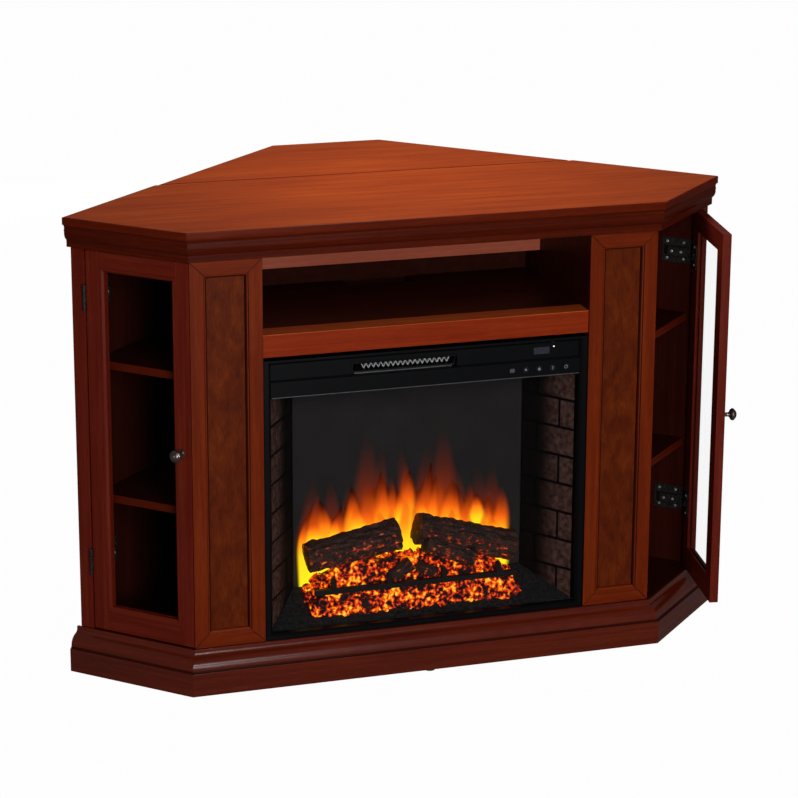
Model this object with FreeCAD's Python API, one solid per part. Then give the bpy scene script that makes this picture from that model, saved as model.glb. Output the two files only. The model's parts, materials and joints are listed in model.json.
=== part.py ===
"""Corner fireplace media stand: carcass, glazed doors, drop leaf and electric firebox.

Millimetres. X runs to the right along the front, Y runs back from the front edge of the top,
Z is up from the floor. The origin is on the floor under the glide at the middle of the front plinth.
Right-hand pieces are modelled and the left-hand ones are their mirror images.
The side faces have their own frame: s along the face from the front corner, d inwards.
"""
import FreeCAD, Part
import math
import os

from FreeCAD import Placement, Rotation, Vector

# Overall sizes of the top
FRONT_WIDTH = 852.0
SIDE_RUN = 175.0
TOP_DEPTH = 379.0
HEIGHT = 819.0
TOP_THICK = 14.0
TOP_EDGE_RADIUS = 3.0
LEAF_INSET = 8.0
LEAF_GAP = 1.0
LEAF_BACK_WIDTH = 212.0

# Carcass
BODY_INSET = 16.0
WALL_INSET = 6.0
BACK_INSET = 30.0
BOARD = 16.0
FRONT_BOARD = 18.0
BACK_THICK = 5.0
BASE_HEIGHT = 80.0
FLOOR_THICK = 18.0
CROWN_HEIGHT = 39.0
PILASTER_WIDTH = 125.9
BAY_HEIGHT = 175.0
SHELF_RAIL_HEIGHT = 40.0
SHELF_RAIL_SETBACK = 2.0
CABLE_CHAMBER = 76.0
BAY_BACK_GAP = 50.0
BAY_BACK_THICK = 12.0
CABLE_NOTCH_WIDTH = 120.0
CABLE_NOTCH_DEPTH = 40.0
POST_WIDTH = 26.0
SERVICE_SIDE = 53.5
SERVICE_RISE = 50.0
SERVICE_DROP = 44.0

# Sides of the small round pieces
SMALL_SIDES = 10
CUP_SIDES = 16
ROUND_SIDES = 16

# Crown moulding, offsets out from the body's faces
CROWN_LIP = 6.0
CROWN_FASCIA = 12.0
CROWN_COVE_OUT = 12.0
CROWN_COVE_HEIGHT = 17.0
CROWN_COVE_SAG = 2.6
CROWN_BEAD_OUT = 13.5
CROWN_END_INSET = 2.0

# Plinth and its ogee moulding, offsets out from the body's faces
GLIDE_HEIGHT = 3.0
GLIDE_RADIUS = 10.0
PLINTH_OUT = 28.0
PLINTH_IN = 4.0
PLINTH_FACE_DROP = 35.0
PLINTH_BEAD = 3.0
OGEE_FOOT_OUT = 24.0
OGEE_HEAD_OUT = 9.0
OGEE_HEAD_DROP = 11.0
OGEE_SAG = 3.6
OGEE_COVE_SAG = 1.0
PLINTH_CAP_OUT = 5.0
PLINTH_CAP_HEIGHT = 5.0

# Pilasters
PILASTER_MEMBER = 30.0
PILASTER_BEVEL = 4.0
PILASTER_RECESS = 8.0
PILASTER_PANEL = 6.0

# Doors
DOOR_THICK = 16.0
DOOR_SETBACK = 0.0
DOOR_FREE_REVEAL = 1.4
DOOR_HINGE_GAP = 3.0
DOOR_END_GAP = 2.0
STILE_WIDTH = 35.0
TOP_RAIL_HEIGHT = 36.0
BOTTOM_RAIL_HEIGHT = 44.0
DOOR_BEVEL = 5.0
GLASS_THICK = 4.0
GLASS_REBATE = 8.0
GLASS_EDGE_GAP = 0.5
BEAD_THICK = 4.0
RIGHT_DOOR_OPEN = 36.0
KNOB_RISE = 10.0
KNOB_PROJECTION = 26.0
KNOB_RADIUS = 14.0
KNOB_STEM_RADIUS = 4.5
KNOB_ROSE_RADIUS = 9.0
KNOB_ROSE_THICK = 2.5
KNOB_HEAD_THICK = 13.0
KNOB_RIM = 0.45
KNOB_SIDES = 18
KNOB_DOME_STEPS = 4

# Door hinges
HINGE_FROM_BOTTOM = 124.0
HINGE_FROM_TOP = 84.0
HINGE_HALF = 23.0
HINGE_MIDDLE_HALF = 9.0
HINGE_AXIAL_GAP = 0.3
HINGE_KNUCKLE_RADIUS = 2.8
HINGE_PIN_RADIUS = 1.4
HINGE_PIN_GAP = 0.06
HINGE_AXIS_ALONG = 1.3
HINGE_AXIS_OUT = 3.4
HINGE_STRAP = 1.3
HINGE_PLATE = 1.5
HINGE_PLATE_DEPTH = 76.0
HINGE_ARM_START = 6.0
HINGE_ARM_LENGTH = 50.0
HINGE_ARM_HALF = 8.0
HINGE_ARM_RISE = 11.0
HINGE_FLANGE_START = 5.0
HINGE_FLANGE_WIDTH = 24.0
HINGE_FLANGE_THICK = 1.1
CUP_RADIUS = 10.0
CUP_DEPTH = 9.0
CUP_WALL = 1.5
CUP_GAP = 0.1
CUP_FROM_EDGE = 17.0

# Adjustable shelves in the side cabinets
SHELF_SHARES = (0.357, 0.707)
SHELF_THICK = 14.0
SHELF_GAP = 1.0
SHELF_FRONT_SETBACK = 6.0
SHELF_PIN_RADIUS = 3.0
SHELF_PIN_LENGTH = 16.0
SHELF_PIN_INSET = 8.0
SHELF_PIN_DROP = 0.1
SHELF_PIN_MARGIN = 45.0

# Drop leaf hinges and braces
LEAF_HINGE_SHARES = (-0.655, 0.0, 0.655)
LEAF_HINGE_HALF = 30.0
LEAF_HINGE_MIDDLE_HALF = 10.0
LEAF_HINGE_PLATE = 2.0
LEAF_HINGE_REACH = 25.0
LEAF_HINGE_DROP = 3.5
LEAF_KNUCKLE_RADIUS = 3.2
LEAF_KNUCKLE_GAP = 0.4
LEAF_PIN_RADIUS = 1.6
BRACE_SHARES = (-0.302, 0.302)
BRACE_REACH = 150.0
BRACE_PIVOT_DROP = 9.0
BRACE_FALL = 150.0
BRACE_WIDTH = 10.0
BRACE_HALF_DEPTH = 6.0
BRACE_SIDE_GAP = 0.6
BRACE_PIN_RADIUS = 3.0
BRACE_PIN_GAP = 0.06
BRACE_TIP_GAP = 0.4
EAR_CHEEK = 3.0
EAR_LENGTH = 40.0
TRACK_BASE = 2.0
TRACK_SLOT = 14.0
TRACK_FLANGE = 3.0
TRACK_DEPTH = 16.0
TRACK_ABOVE = 40.0
TRACK_BELOW = 90.0

# Firebox
FIRE_SIDE_GAP = 1.0
FIRE_FRONT_SETBACK = 2.0
FIRE_TOP_DROP = 46.0
BEZEL_SIDE = 12.5
BEZEL_BOTTOM = 9.0
BEZEL_TOP = 8.0
BEZEL_DEPTH = 20.0
BEZEL_BEVEL = 4.0
FIRE_GLASS_THICK = 4.0
FIRE_GLASS_LAP = 4.0
SHELL_REAR_SPACE = 104.0
SHELL_WALL = 2.0
SHELL_LAP = 6.0
HEADER_HEIGHT = 60.0
HEADER_FRONT = 3.0
HEADER_STEP = 4.0
HEADER_STEP_Z = 32.0
HEADER_WALL = 6.0
HEADER_FLANGE = 3.0
OUTLET_CENTRE_SHARE = -0.137
OUTLET_WIDTH = 187.0
OUTLET_BOTTOM = 29.5
OUTLET_HEIGHT = 20.0
OUTLET_RIM = 3.0
OUTLET_RIM_PROUD = 1.5
DISPLAY_INSET = 56.0
DISPLAY_WIDTH = 29.0
DISPLAY_BOTTOM = 39.5
DISPLAY_HEIGHT = 12.5
KEY_COUNT = 5
KEY_LAST_INSET = 26.0
KEY_PITCH = 25.0
KEY_Z = 14.6
KEY_RADIUS = 5.5
KEY_GAP = 0.3
KEY_PROUD = 0.8
KEY_FLANGE_RADIUS = 7.0
KEY_FLANGE_THICK = 1.5
KEY_TAIL = 0.4
KEY_TRAVEL = 0.8
BOARD_THICK = 1.6
BOARD_MARGIN = 12.0
SWITCH_SIZE = 6.0
STANDOFF_RADIUS = 2.5
STANDOFF_INSET = 5.0

# Heater and blower behind the header
DECK_THICK = 2.0
HEATER_START = 2.0
HEATER_DEPTH = 22.0
HEATER_CHEEK = 4.0
FIN_COUNT = 22
FIN_THICK = 0.8
HEATER_BAR = 2.0
WHEEL_RADIUS = 26.0
WHEEL_GAP = 5.0
WHEEL_BLADES = 12
WHEEL_BLADE_DEPTH = 8.0
WHEEL_BLADE_THICK = 0.8
WHEEL_BLADE_RAKE = 28.0
WHEEL_DISC = 2.0
WHEEL_BEHIND_HEATER = 12.0
WHEEL_END_GAP = 6.0
SCROLL_WALL = 1.5
SHAFT_RADIUS = 3.0
SHAFT_GAP = 0.06
BEARING_WIDTH = 4.0
BEARING_HALF = 9.0
MOTOR_RADIUS = 20.0
MOTOR_LENGTH = 40.0
MOTOR_SOCKET = 20.0

# Fire chamber
CHAMBER_DEPTH = 92.0
CHAMBER_GAP = 1.0
CHAMBER_SIDE = 3.0
CHAMBER_SPLAY = 63.0
TRAY_THICK = 8.0
TRAY_RISE = 40.0
TRAY_WALL_GAP = 0.6
SCREEN_THICK = 3.0
BRICK_THICK = 8.0
BRICK_COURSES = 8
MORTAR_WIDTH = 5.0
MORTAR_DEPTH = 2.0
BRICK_JOINTS = (0.28, 0.72)
FIRE_SET_SHIFT = -6.0
LEDGE_SIDE = 10.0
LEDGE_START = 14.0
LEDGE_HEIGHT = 48.0
LEDGE_DRAFT = 4.0
HEAP_SIDE = 26.0
HEAP_START = 36.0
HEAP_LEFT_SHARE = 0.65
HEAP_RIGHT_SHARE = 0.48
HEAP_SLOPE = 22.0
HEAP_HEIGHT = 42.0
LOG_SIDES = 10
LOG_STATIONS = 6
LOG_SWELL = 0.09
LOG_KNOT = 0.05
LOG_SEAT_GAP = 0.3
# Each log: ends as shares of the bed's half width, set-back from the heap's foot, height of the low end
# over the ledge before it settles, rise, girths, turn
LOGS = (
    (-0.94, -0.115, 20.0, 74.0, 29.0, 23.0, 24.5, 0.0),
    (0.945, 0.06, 23.0, 60.0, 50.0, 23.0, 24.0, 1.3),
    (0.54, 0.09, -4.0, 34.0, 36.0, 13.0, 13.0, 2.1),
    (-0.207, -0.03, -4.0, 26.0, 22.0, 11.0, 10.0, 0.7),
    (0.197, 0.03, -4.0, 16.0, 14.0, 9.0, 9.0, 2.9),
)
SETTLE_STEPS = 60
GRATE_START = 16.0
GRATE_BAR = 9.0
GRATE_PITCH_SHARE = 0.5
GRATE_COUNT = 4
GRATE_HEIGHT = 24.0
GRATE_END = 34.0
SPINDLE_RISE = 66.0
SPINDLE_SIDE = 94.5
FLAG_COUNT = 12
FLAG_WIDTH = 22.0
FLAG_LENGTH = 15.0
FLAG_THICK = 1.0
FLAG_TURN = 75.0
LAMP_BEHIND = 4.0
LAMP_DEPTH = 16.0
LAMP_COUNT = 8
LAMP_SIZE = 6.0
INLET_SIDE = 66.0
INLET_Z = 60.0
INLET_RADIUS = 9.0
INLET_LENGTH = 14.0
INLET_BORE = 4.0

# Sizes worked out from the ones above
HALF_TURN = math.tan(math.radians(22.5))
DIAGONAL = math.sqrt(0.5)
TOP_WIDTH = FRONT_WIDTH + 2 * SIDE_RUN
CORNER_X = FRONT_WIDTH / 2 - BODY_INSET * HALF_TURN
CORNER_Y = BODY_INSET
SIDE_LENGTH = SIDE_RUN / DIAGONAL - BODY_INSET * HALF_TURN - WALL_INSET
TOP_UNDER = HEIGHT - TOP_THICK
CROWN_BOTTOM = TOP_UNDER - CROWN_HEIGHT
SEAM_HALF = TOP_WIDTH / 2 - (TOP_DEPTH - SIDE_RUN)
LEAF_FRONT_HALF = SEAM_HALF - LEAF_INSET
LEAF_DEPTH = LEAF_FRONT_HALF - LEAF_BACK_WIDTH / 2
BACK_FACE = TOP_DEPTH - BACK_INSET
BACK_FRONT = BACK_FACE - BACK_THICK
FLOOR_UNDER = BASE_HEIGHT - FLOOR_THICK
FRONT_BACK = CORNER_Y + FRONT_BOARD
OPENING_HALF = CORNER_X - PILASTER_WIDTH
BAY_FLOOR = TOP_UNDER - BAY_HEIGHT
SHELF_HEIGHTS = [BASE_HEIGHT + share * (CROWN_BOTTOM - BASE_HEIGHT) for share in SHELF_SHARES]
POST_START = SIDE_LENGTH - POST_WIDTH
DOOR_FREE = DOOR_FREE_REVEAL
DOOR_HINGED = POST_START - DOOR_HINGE_GAP
DOOR_BOTTOM = BASE_HEIGHT + DOOR_END_GAP
DOOR_TOP = CROWN_BOTTOM - DOOR_END_GAP
DOOR_FACE = DOOR_SETBACK
DOOR_BACK = DOOR_FACE + DOOR_THICK
HINGE_HEIGHTS = (DOOR_BOTTOM + HINGE_FROM_BOTTOM, DOOR_TOP - HINGE_FROM_TOP)
KNOB_HEIGHT = (DOOR_BOTTOM + DOOR_TOP) / 2 + KNOB_RISE
DOOR_AXIS_S = DOOR_HINGED + HINGE_AXIS_ALONG
DOOR_AXIS_D = DOOR_FACE - HINGE_AXIS_OUT
LEAF_HINGE_PLACES = [share * SEAM_HALF for share in LEAF_HINGE_SHARES]
BRACE_PLACES = [share * SEAM_HALF for share in BRACE_SHARES]
LEAF_AXIS_Y = TOP_DEPTH + LEAF_GAP / 2
LEAF_AXIS_Z = TOP_UNDER - LEAF_HINGE_DROP
BRACE_Y = LEAF_AXIS_Y + BRACE_REACH
BRACE_Z = TOP_UNDER - BRACE_PIVOT_DROP
BRACE_TIP_Y = BACK_FACE + TRACK_BASE + BRACE_TIP_GAP + BRACE_HALF_DEPTH
BRACE_TIP_Z = LEAF_AXIS_Z - BRACE_FALL
FIRE_HALF = OPENING_HALF - FIRE_SIDE_GAP
FIRE_FRONT = CORNER_Y + FIRE_FRONT_SETBACK
FIRE_BACK_OF_BEZEL = FIRE_FRONT + BEZEL_DEPTH
FIRE_BOTTOM = BASE_HEIGHT
FIRE_TOP = BAY_FLOOR - FIRE_TOP_DROP
SERVICE_HALF = OPENING_HALF - SERVICE_SIDE
OPEN_HALF = FIRE_HALF - BEZEL_SIDE
OPEN_BOTTOM = FIRE_BOTTOM + BEZEL_BOTTOM
OPEN_TOP = FIRE_TOP - BEZEL_TOP
HEADER_BOTTOM = OPEN_TOP - HEADER_HEIGHT
HEADER_INNER = FIRE_FRONT + HEADER_FRONT + HEADER_STEP + HEADER_WALL
SHELL_HALF = FIRE_HALF - SHELL_LAP
SHELL_INNER_HALF = SHELL_HALF - SHELL_WALL
SHELL_TOP = FIRE_TOP - SHELL_WALL
SHELL_BACK = BACK_FRONT - SHELL_REAR_SPACE
SHELL_FLOOR = FIRE_BOTTOM + SHELL_WALL
DECK_TOP = HEADER_BOTTOM - HEADER_FLANGE
DECK_UNDER = DECK_TOP - DECK_THICK
TRAY_TOP = SHELL_FLOOR + TRAY_THICK
CHAMBER_FRONT = FIRE_BACK_OF_BEZEL + CHAMBER_GAP
CHAMBER_BACK = CHAMBER_FRONT + CHAMBER_DEPTH
CHAMBER_FRONT_HALF = OPEN_HALF - CHAMBER_SIDE
CHAMBER_BACK_HALF = CHAMBER_FRONT_HALF - CHAMBER_SPLAY
LEDGE_HALF = CHAMBER_BACK_HALF - LEDGE_SIDE
LEDGE_TOP = TRAY_TOP + LEDGE_HEIGHT
HEAP_FRONT = CHAMBER_FRONT + HEAP_START
OUTLET_LEFT = OUTLET_CENTRE_SHARE * FIRE_HALF - OUTLET_WIDTH / 2
OUTLET_RIGHT = OUTLET_LEFT + OUTLET_WIDTH
DISPLAY_X = OPEN_HALF - DISPLAY_INSET - DISPLAY_WIDTH
KEY_FIRST_X = OPEN_HALF - KEY_LAST_INSET - KEY_PITCH * (KEY_COUNT - 1)
BOARD_FRONT = FIRE_BACK_OF_BEZEL - BOARD_THICK
SCROLL_RADIUS = WHEEL_RADIUS + WHEEL_GAP
HEATER_FRONT = FIRE_BACK_OF_BEZEL + HEATER_START
HEATER_BACK = HEATER_FRONT + HEATER_DEPTH
WHEEL_Y = HEATER_BACK + WHEEL_BEHIND_HEATER + WHEEL_RADIUS
WHEEL_Z = DECK_TOP + SCROLL_RADIUS + SCROLL_WALL
BLOWER_MOTOR_X = OUTLET_RIGHT + HEATER_CHEEK
SCREEN_BACK = CHAMBER_BACK + SCREEN_THICK
SPINDLE_HALF = SHELL_INNER_HALF - SPINDLE_SIDE
SPINDLE_Y = (SCREEN_BACK + SHELL_BACK - SHELL_WALL) / 2
SPINDLE_Z = SHELL_FLOOR + SPINDLE_RISE

X_AXIS = Vector(1, 0, 0)
Y_AXIS = Vector(0, 1, 0)
Z_AXIS = Vector(0, 0, 1)
SIDE_FRAME = Placement(Vector(CORNER_X, CORNER_Y, 0), Rotation(Z_AXIS, 45))


def box(x0, x1, y0, y1, z0, z1):
    """A block between two corners."""
    return Part.makeBox(x1 - x0, y1 - y0, z1 - z0, Vector(x0, y0, z0))


def prism(points, z0, z1):
    """A flat outline in X and Y raised from z0 to z1."""
    corners = [Vector(x, y, z0) for x, y in points]
    face = Part.Face(Part.makePolygon(corners + corners[:1]))
    return face.extrude(Vector(0, 0, z1 - z0))


def front_prism(points, y0, y1):
    """An outline in X and Z pushed back from y0 to y1."""
    corners = [Vector(x, y0, z) for x, z in points]
    face = Part.Face(Part.makePolygon(corners + corners[:1]))
    return face.extrude(Vector(0, y1 - y0, 0))


def end_prism(points, x0, x1):
    """An outline in Y and Z run along X from x0 to x1."""
    corners = [Vector(x0, y, z) for y, z in points]
    face = Part.Face(Part.makePolygon(corners + corners[:1]))
    return face.extrude(Vector(x1 - x0, 0, 0))


def rod(start, axis, radius, length):
    """A round bar from a point along an axis."""
    return Part.makeCylinder(radius, length, start, axis)


def peg(start, axis, radius, length, sides):
    """A bar with flat sides, for small round pieces that nothing turns on."""
    corners = []
    for side in range(sides):
        angle = 2 * math.pi * side / sides
        corners.append(Vector(radius * math.cos(angle), radius * math.sin(angle), 0))
    bar = Part.Face(Part.makePolygon(corners + corners[:1])).extrude(Vector(0, 0, length))
    bar.Placement = Placement(start, Rotation(Z_AXIS, axis))
    return bar


def skinned(rings):
    """A solid with flat facets through rings of points, closed at both ends."""
    faces = [Part.Face(Part.makePolygon(ring + ring[:1])) for ring in (rings[0], rings[-1])]
    for lower, upper in zip(rings, rings[1:]):
        for here in range(len(lower)):
            after = (here + 1) % len(lower)
            first, second = [lower[here], lower[after], upper[after]], [lower[here], upper[after], upper[here]]
            for corners in (first, second):
                faces.append(Part.Face(Part.makePolygon(corners + corners[:1])))
    solid = Part.makeSolid(Part.makeShell(faces))
    if solid.Volume < 0:
        solid.reverse()
    return solid.removeSplitter()


def fuse(first, *others):
    """One solid out of several that meet."""
    return first.fuse(list(others)).removeSplitter()


def cut(shape, *tools):
    """A shape less each tool."""
    return shape.cut(list(tools))


def mirrored(shape):
    """The same piece on the other side of the stand."""
    return shape.mirror(Vector(0, 0, 0), X_AXIS)


def both(shape):
    """A right-hand piece and its left-hand twin."""
    return [shape, mirrored(shape)]


def on_side(shape):
    """Moves a shape from the side face's frame to the right-hand side of the stand."""
    placed = shape.copy()
    placed.Placement = SIDE_FRAME.multiply(placed.Placement)
    return placed


def side_point(s, d):
    """The place in plan of a point in the right side face's frame."""
    place = SIDE_FRAME.multVec(Vector(s, d, 0))
    return place.x, place.y


def side_depth_at(s, y):
    """How far in from the side face a line at s reaches the depth y."""
    return (y - CORNER_Y) / DIAGONAL - s


def outline(out, wall_in, back):
    """The stand's plan: front and sides moved out, wall edges moved in, and cut off at the back."""
    corner = FRONT_WIDTH / 2 + out * HALF_TURN
    wall_sum = TOP_WIDTH / 2 + SIDE_RUN - wall_in / DIAGONAL
    side_shift = FRONT_WIDTH / 2 + out / DIAGONAL
    end_x = (wall_sum + side_shift) / 2
    end_y = wall_sum - end_x
    right = [(corner, -out), (end_x, end_y), (wall_sum - back, back)]
    left = [(-x, y) for x, y in reversed(right)]
    return right + left


def frustum(x0, x1, z0, z1, y0, flare, depth):
    """A bevelled opening in a front face: wider by the flare at y0 and true at the depth."""
    def ring(grow, y):
        return [Vector(x0 - grow, y, z0 - grow), Vector(x1 + grow, y, z0 - grow),
                Vector(x1 + grow, y, z1 + grow), Vector(x0 - grow, y, z1 + grow)]
    return skinned([ring(flare, y0), ring(0, y0 + depth)])


def bowed(start, end, sag):
    """An arc between two points of a profile, bowed to its left by the sag."""
    chord = end - start
    left = X_AXIS.cross(chord).normalize()
    return Part.Arc(start, (start + end) * 0.5 + left * sag, end).toShape()


def moulding(profile, length, outward, inward, mitre_start, mitre_end):
    """A profile run along s, cut at each end square or along the corner's mitre."""
    blank = profile.extrude(Vector(length + 4 * outward, 0, 0))
    blank.translate(Vector(-2 * outward, 0, 0))
    far, near = outward + 1, -inward - 1
    start = [(-far * HALF_TURN * mitre_start, -far), (-near * HALF_TURN * mitre_start, -near)]
    end = [(length + near * HALF_TURN * mitre_end, -near), (length + far * HALF_TURN * mitre_end, -far)]
    return blank.common(prism(start + end, 0, HEIGHT))


def three_runs(profile, outward, inward, end_trim):
    """The front, right and left lengths of one moulding."""
    front = moulding(profile, 2 * CORNER_X, outward, inward, 1, 1)
    front.translate(Vector(-CORNER_X, CORNER_Y, 0))
    side = moulding(profile, SIDE_LENGTH + WALL_INSET - end_trim, outward, inward, 1, 0)
    return [front] + both(on_side(side))


def profile_face(edges):
    """A filled profile from edges in order."""
    return Part.Face(Part.Wire(edges))


def line(start, end):
    """A straight edge of a profile."""
    return Part.LineSegment(start, end).toShape()


def chain(points):
    """Straight edges through points."""
    return [line(a, b) for a, b in zip(points, points[1:])]


def out_point(out, z):
    """A profile point at an offset out from the body's face."""
    return Vector(0, -out, z)


def crown_profile():
    """Fascia, cove and top bead of the crown."""
    cove_foot = out_point(CROWN_LIP, CROWN_BOTTOM + CROWN_FASCIA)
    cove_head = out_point(CROWN_COVE_OUT, CROWN_BOTTOM + CROWN_FASCIA + CROWN_COVE_HEIGHT)
    bead_foot = out_point(CROWN_BEAD_OUT, cove_head.z)
    bead_head = out_point(CROWN_BEAD_OUT, TOP_UNDER)
    inner = [out_point(0, TOP_UNDER), out_point(0, CROWN_BOTTOM), out_point(CROWN_LIP, CROWN_BOTTOM), cove_foot]
    bead_bow = (CROWN_BEAD_OUT - CROWN_COVE_OUT)
    edges = [bowed(cove_foot, cove_head, -CROWN_COVE_SAG), line(cove_head, bead_foot)]
    edges += [bowed(bead_foot, bead_head, bead_bow)] + chain([bead_head] + inner)
    return profile_face(edges)


def plinth_profile():
    """Plain plinth, bead, ogee and cap of the base."""
    foot = [out_point(-PLINTH_IN, FLOOR_UNDER), out_point(-PLINTH_IN, GLIDE_HEIGHT)]
    face = [out_point(PLINTH_OUT, GLIDE_HEIGHT), out_point(PLINTH_OUT, BASE_HEIGHT - PLINTH_FACE_DROP)]
    bead_head = out_point(PLINTH_OUT - PLINTH_BEAD, face[1].z + PLINTH_BEAD)
    ogee_foot = out_point(OGEE_FOOT_OUT, bead_head.z)
    ogee_head = out_point(OGEE_HEAD_OUT, BASE_HEIGHT - OGEE_HEAD_DROP)
    cove_head = out_point(PLINTH_CAP_OUT, BASE_HEIGHT - PLINTH_CAP_HEIGHT)
    cap = [cove_head, out_point(PLINTH_CAP_OUT, BASE_HEIGHT), out_point(0, BASE_HEIGHT)]
    cap.append(out_point(0, FLOOR_UNDER))
    edges = chain(foot + face) + [bowed(face[1], bead_head, PLINTH_BEAD / 4), line(bead_head, ogee_foot)]
    edges += [bowed(ogee_foot, ogee_head, OGEE_SAG), bowed(ogee_head, cove_head, -OGEE_COVE_SAG)]
    return profile_face(edges + chain(cap + foot[:1]))


def frame_profile():
    """Plain rail behind the crown."""
    corners = [out_point(0, CROWN_BOTTOM), out_point(0, TOP_UNDER), out_point(-FRONT_BOARD, TOP_UNDER),
               out_point(-FRONT_BOARD, CROWN_BOTTOM)]
    return profile_face(chain(corners + corners[:1]))


def rounded_top(shape, is_shown):
    """Eases the upper and lower arrises whose middle passes the test."""
    edges = [edge for edge in shape.Edges if is_shown(edge.CenterOfMass) and abs(edge.tangentAt(0).z) < 0.5]
    return shape.makeFillet(TOP_EDGE_RADIUS, edges)


def main_top():
    """The fixed board of the top, eased along the front and sides."""
    board = prism(outline(0, 0, TOP_DEPTH), TOP_UNDER, HEIGHT)
    return rounded_top(board, lambda middle: middle.y < SIDE_RUN)


def drop_leaf():
    """The leaf that fills the room's corner, narrower than the seam."""
    front = TOP_DEPTH + LEAF_GAP
    back = front + LEAF_DEPTH
    narrow = LEAF_BACK_WIDTH / 2
    plan = [(-LEAF_FRONT_HALF, front), (LEAF_FRONT_HALF, front), (narrow, back), (-narrow, back)]
    return rounded_top(prism(plan, TOP_UNDER, HEIGHT), lambda middle: middle.y > front + 1)


def pilaster_frame():
    """Right pilaster: four mitred members, cut back behind the corner where the door shuts."""
    inner, outer = OPENING_HALF, CORNER_X
    low, high = BASE_HEIGHT, CROWN_BOTTOM
    wide = PILASTER_MEMBER
    opening = (inner + wide, outer - wide, low + wide, high - wide)
    bevel = frustum(*opening, CORNER_Y, PILASTER_BEVEL, PILASTER_BEVEL)
    top = [(inner, high), (outer, high), (outer - wide, high - wide), (inner + wide, high - wide)]
    bottom = [(inner, low), (outer, low), (outer - wide, low + wide), (inner + wide, low + wide)]
    behind = [(outer, CORNER_Y), (outer + wide, FRONT_BACK), (outer - FRONT_BOARD, FRONT_BACK)]
    cut_back = prism(behind, low, high)
    rails = [front_prism(points, CORNER_Y, FRONT_BACK) for points in (top, bottom)]
    stiles = [cut(box(left, left + wide, CORNER_Y, FRONT_BACK, low, high), *rails)
              for left in (inner, outer - wide)]
    return [cut(member, bevel, cut_back) for member in rails + stiles]


def pilaster_panel():
    """Right recessed veneer panel."""
    wide = PILASTER_MEMBER
    front = CORNER_Y + PILASTER_RECESS
    return box(OPENING_HALF + wide, CORNER_X - wide, front, front + PILASTER_PANEL,
               BASE_HEIGHT + wide, CROWN_BOTTOM - wide)


def wall_strip(s0, s1, d0, back, z0, z1):
    """A board along the right wall side, cut off square to the front at the back."""
    plan = [side_point(s0, d0), side_point(s1, d0), side_point(s1, side_depth_at(s1, back)),
            side_point(s0, side_depth_at(s0, back))]
    return prism(plan, z0, z1)


def shelf_plan():
    """The plan of an adjustable shelf in the right cabinet."""
    partition = OPENING_HALF + BOARD + SHELF_GAP
    front = FRONT_BACK + SHELF_FRONT_SETBACK
    setback = FRONT_BOARD + SHELF_FRONT_SETBACK
    back = BACK_FRONT - SHELF_GAP
    wall = POST_START - SHELF_GAP
    bend_s = (front - CORNER_Y) / DIAGONAL - setback
    return [(partition, front), side_point(bend_s, setback), side_point(wall, setback),
            side_point(wall, side_depth_at(wall, back)), (partition, back)]


def shelf_pins():
    """Right cabinet's pins, four to a shelf, half of each in its board."""
    pins = []
    start = OPENING_HALF + BOARD - SHELF_PIN_INSET
    wall_start = POST_START + SHELF_PIN_INSET
    margin = SHELF_PIN_MARGIN
    wall_places = (FRONT_BOARD + margin, side_depth_at(POST_START, BACK_FRONT) - margin)
    for top in SHELF_HEIGHTS:
        z = top - SHELF_THICK - SHELF_PIN_DROP - SHELF_PIN_RADIUS
        for y in (FRONT_BACK + margin, BACK_FRONT - margin):
            pins.append(peg(Vector(start, y, z), X_AXIS, SHELF_PIN_RADIUS, SHELF_PIN_LENGTH, SMALL_SIDES))
        for d in wall_places:
            pin = peg(Vector(wall_start, d, z), -X_AXIS, SHELF_PIN_RADIUS, SHELF_PIN_LENGTH, SMALL_SIDES)
            pins.append(on_side(pin))
    return pins


def floor_glides():
    """Nail-on glides under the plinth and the back of the base."""
    middle_d = (PLINTH_IN - PLINTH_OUT) / 2
    places = [(0, 0), side_point(GLIDE_RADIUS, middle_d), side_point(SIDE_LENGTH - GLIDE_RADIUS, middle_d)]
    places.append((SERVICE_HALF, BACK_FRONT - BOARD / 2))
    discs = []
    for x, y in places:
        disc = peg(Vector(x, y, 0), Z_AXIS, GLIDE_RADIUS, GLIDE_HEIGHT, ROUND_SIDES)
        discs += [disc] if x == 0 else both(disc)
    return discs


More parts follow.
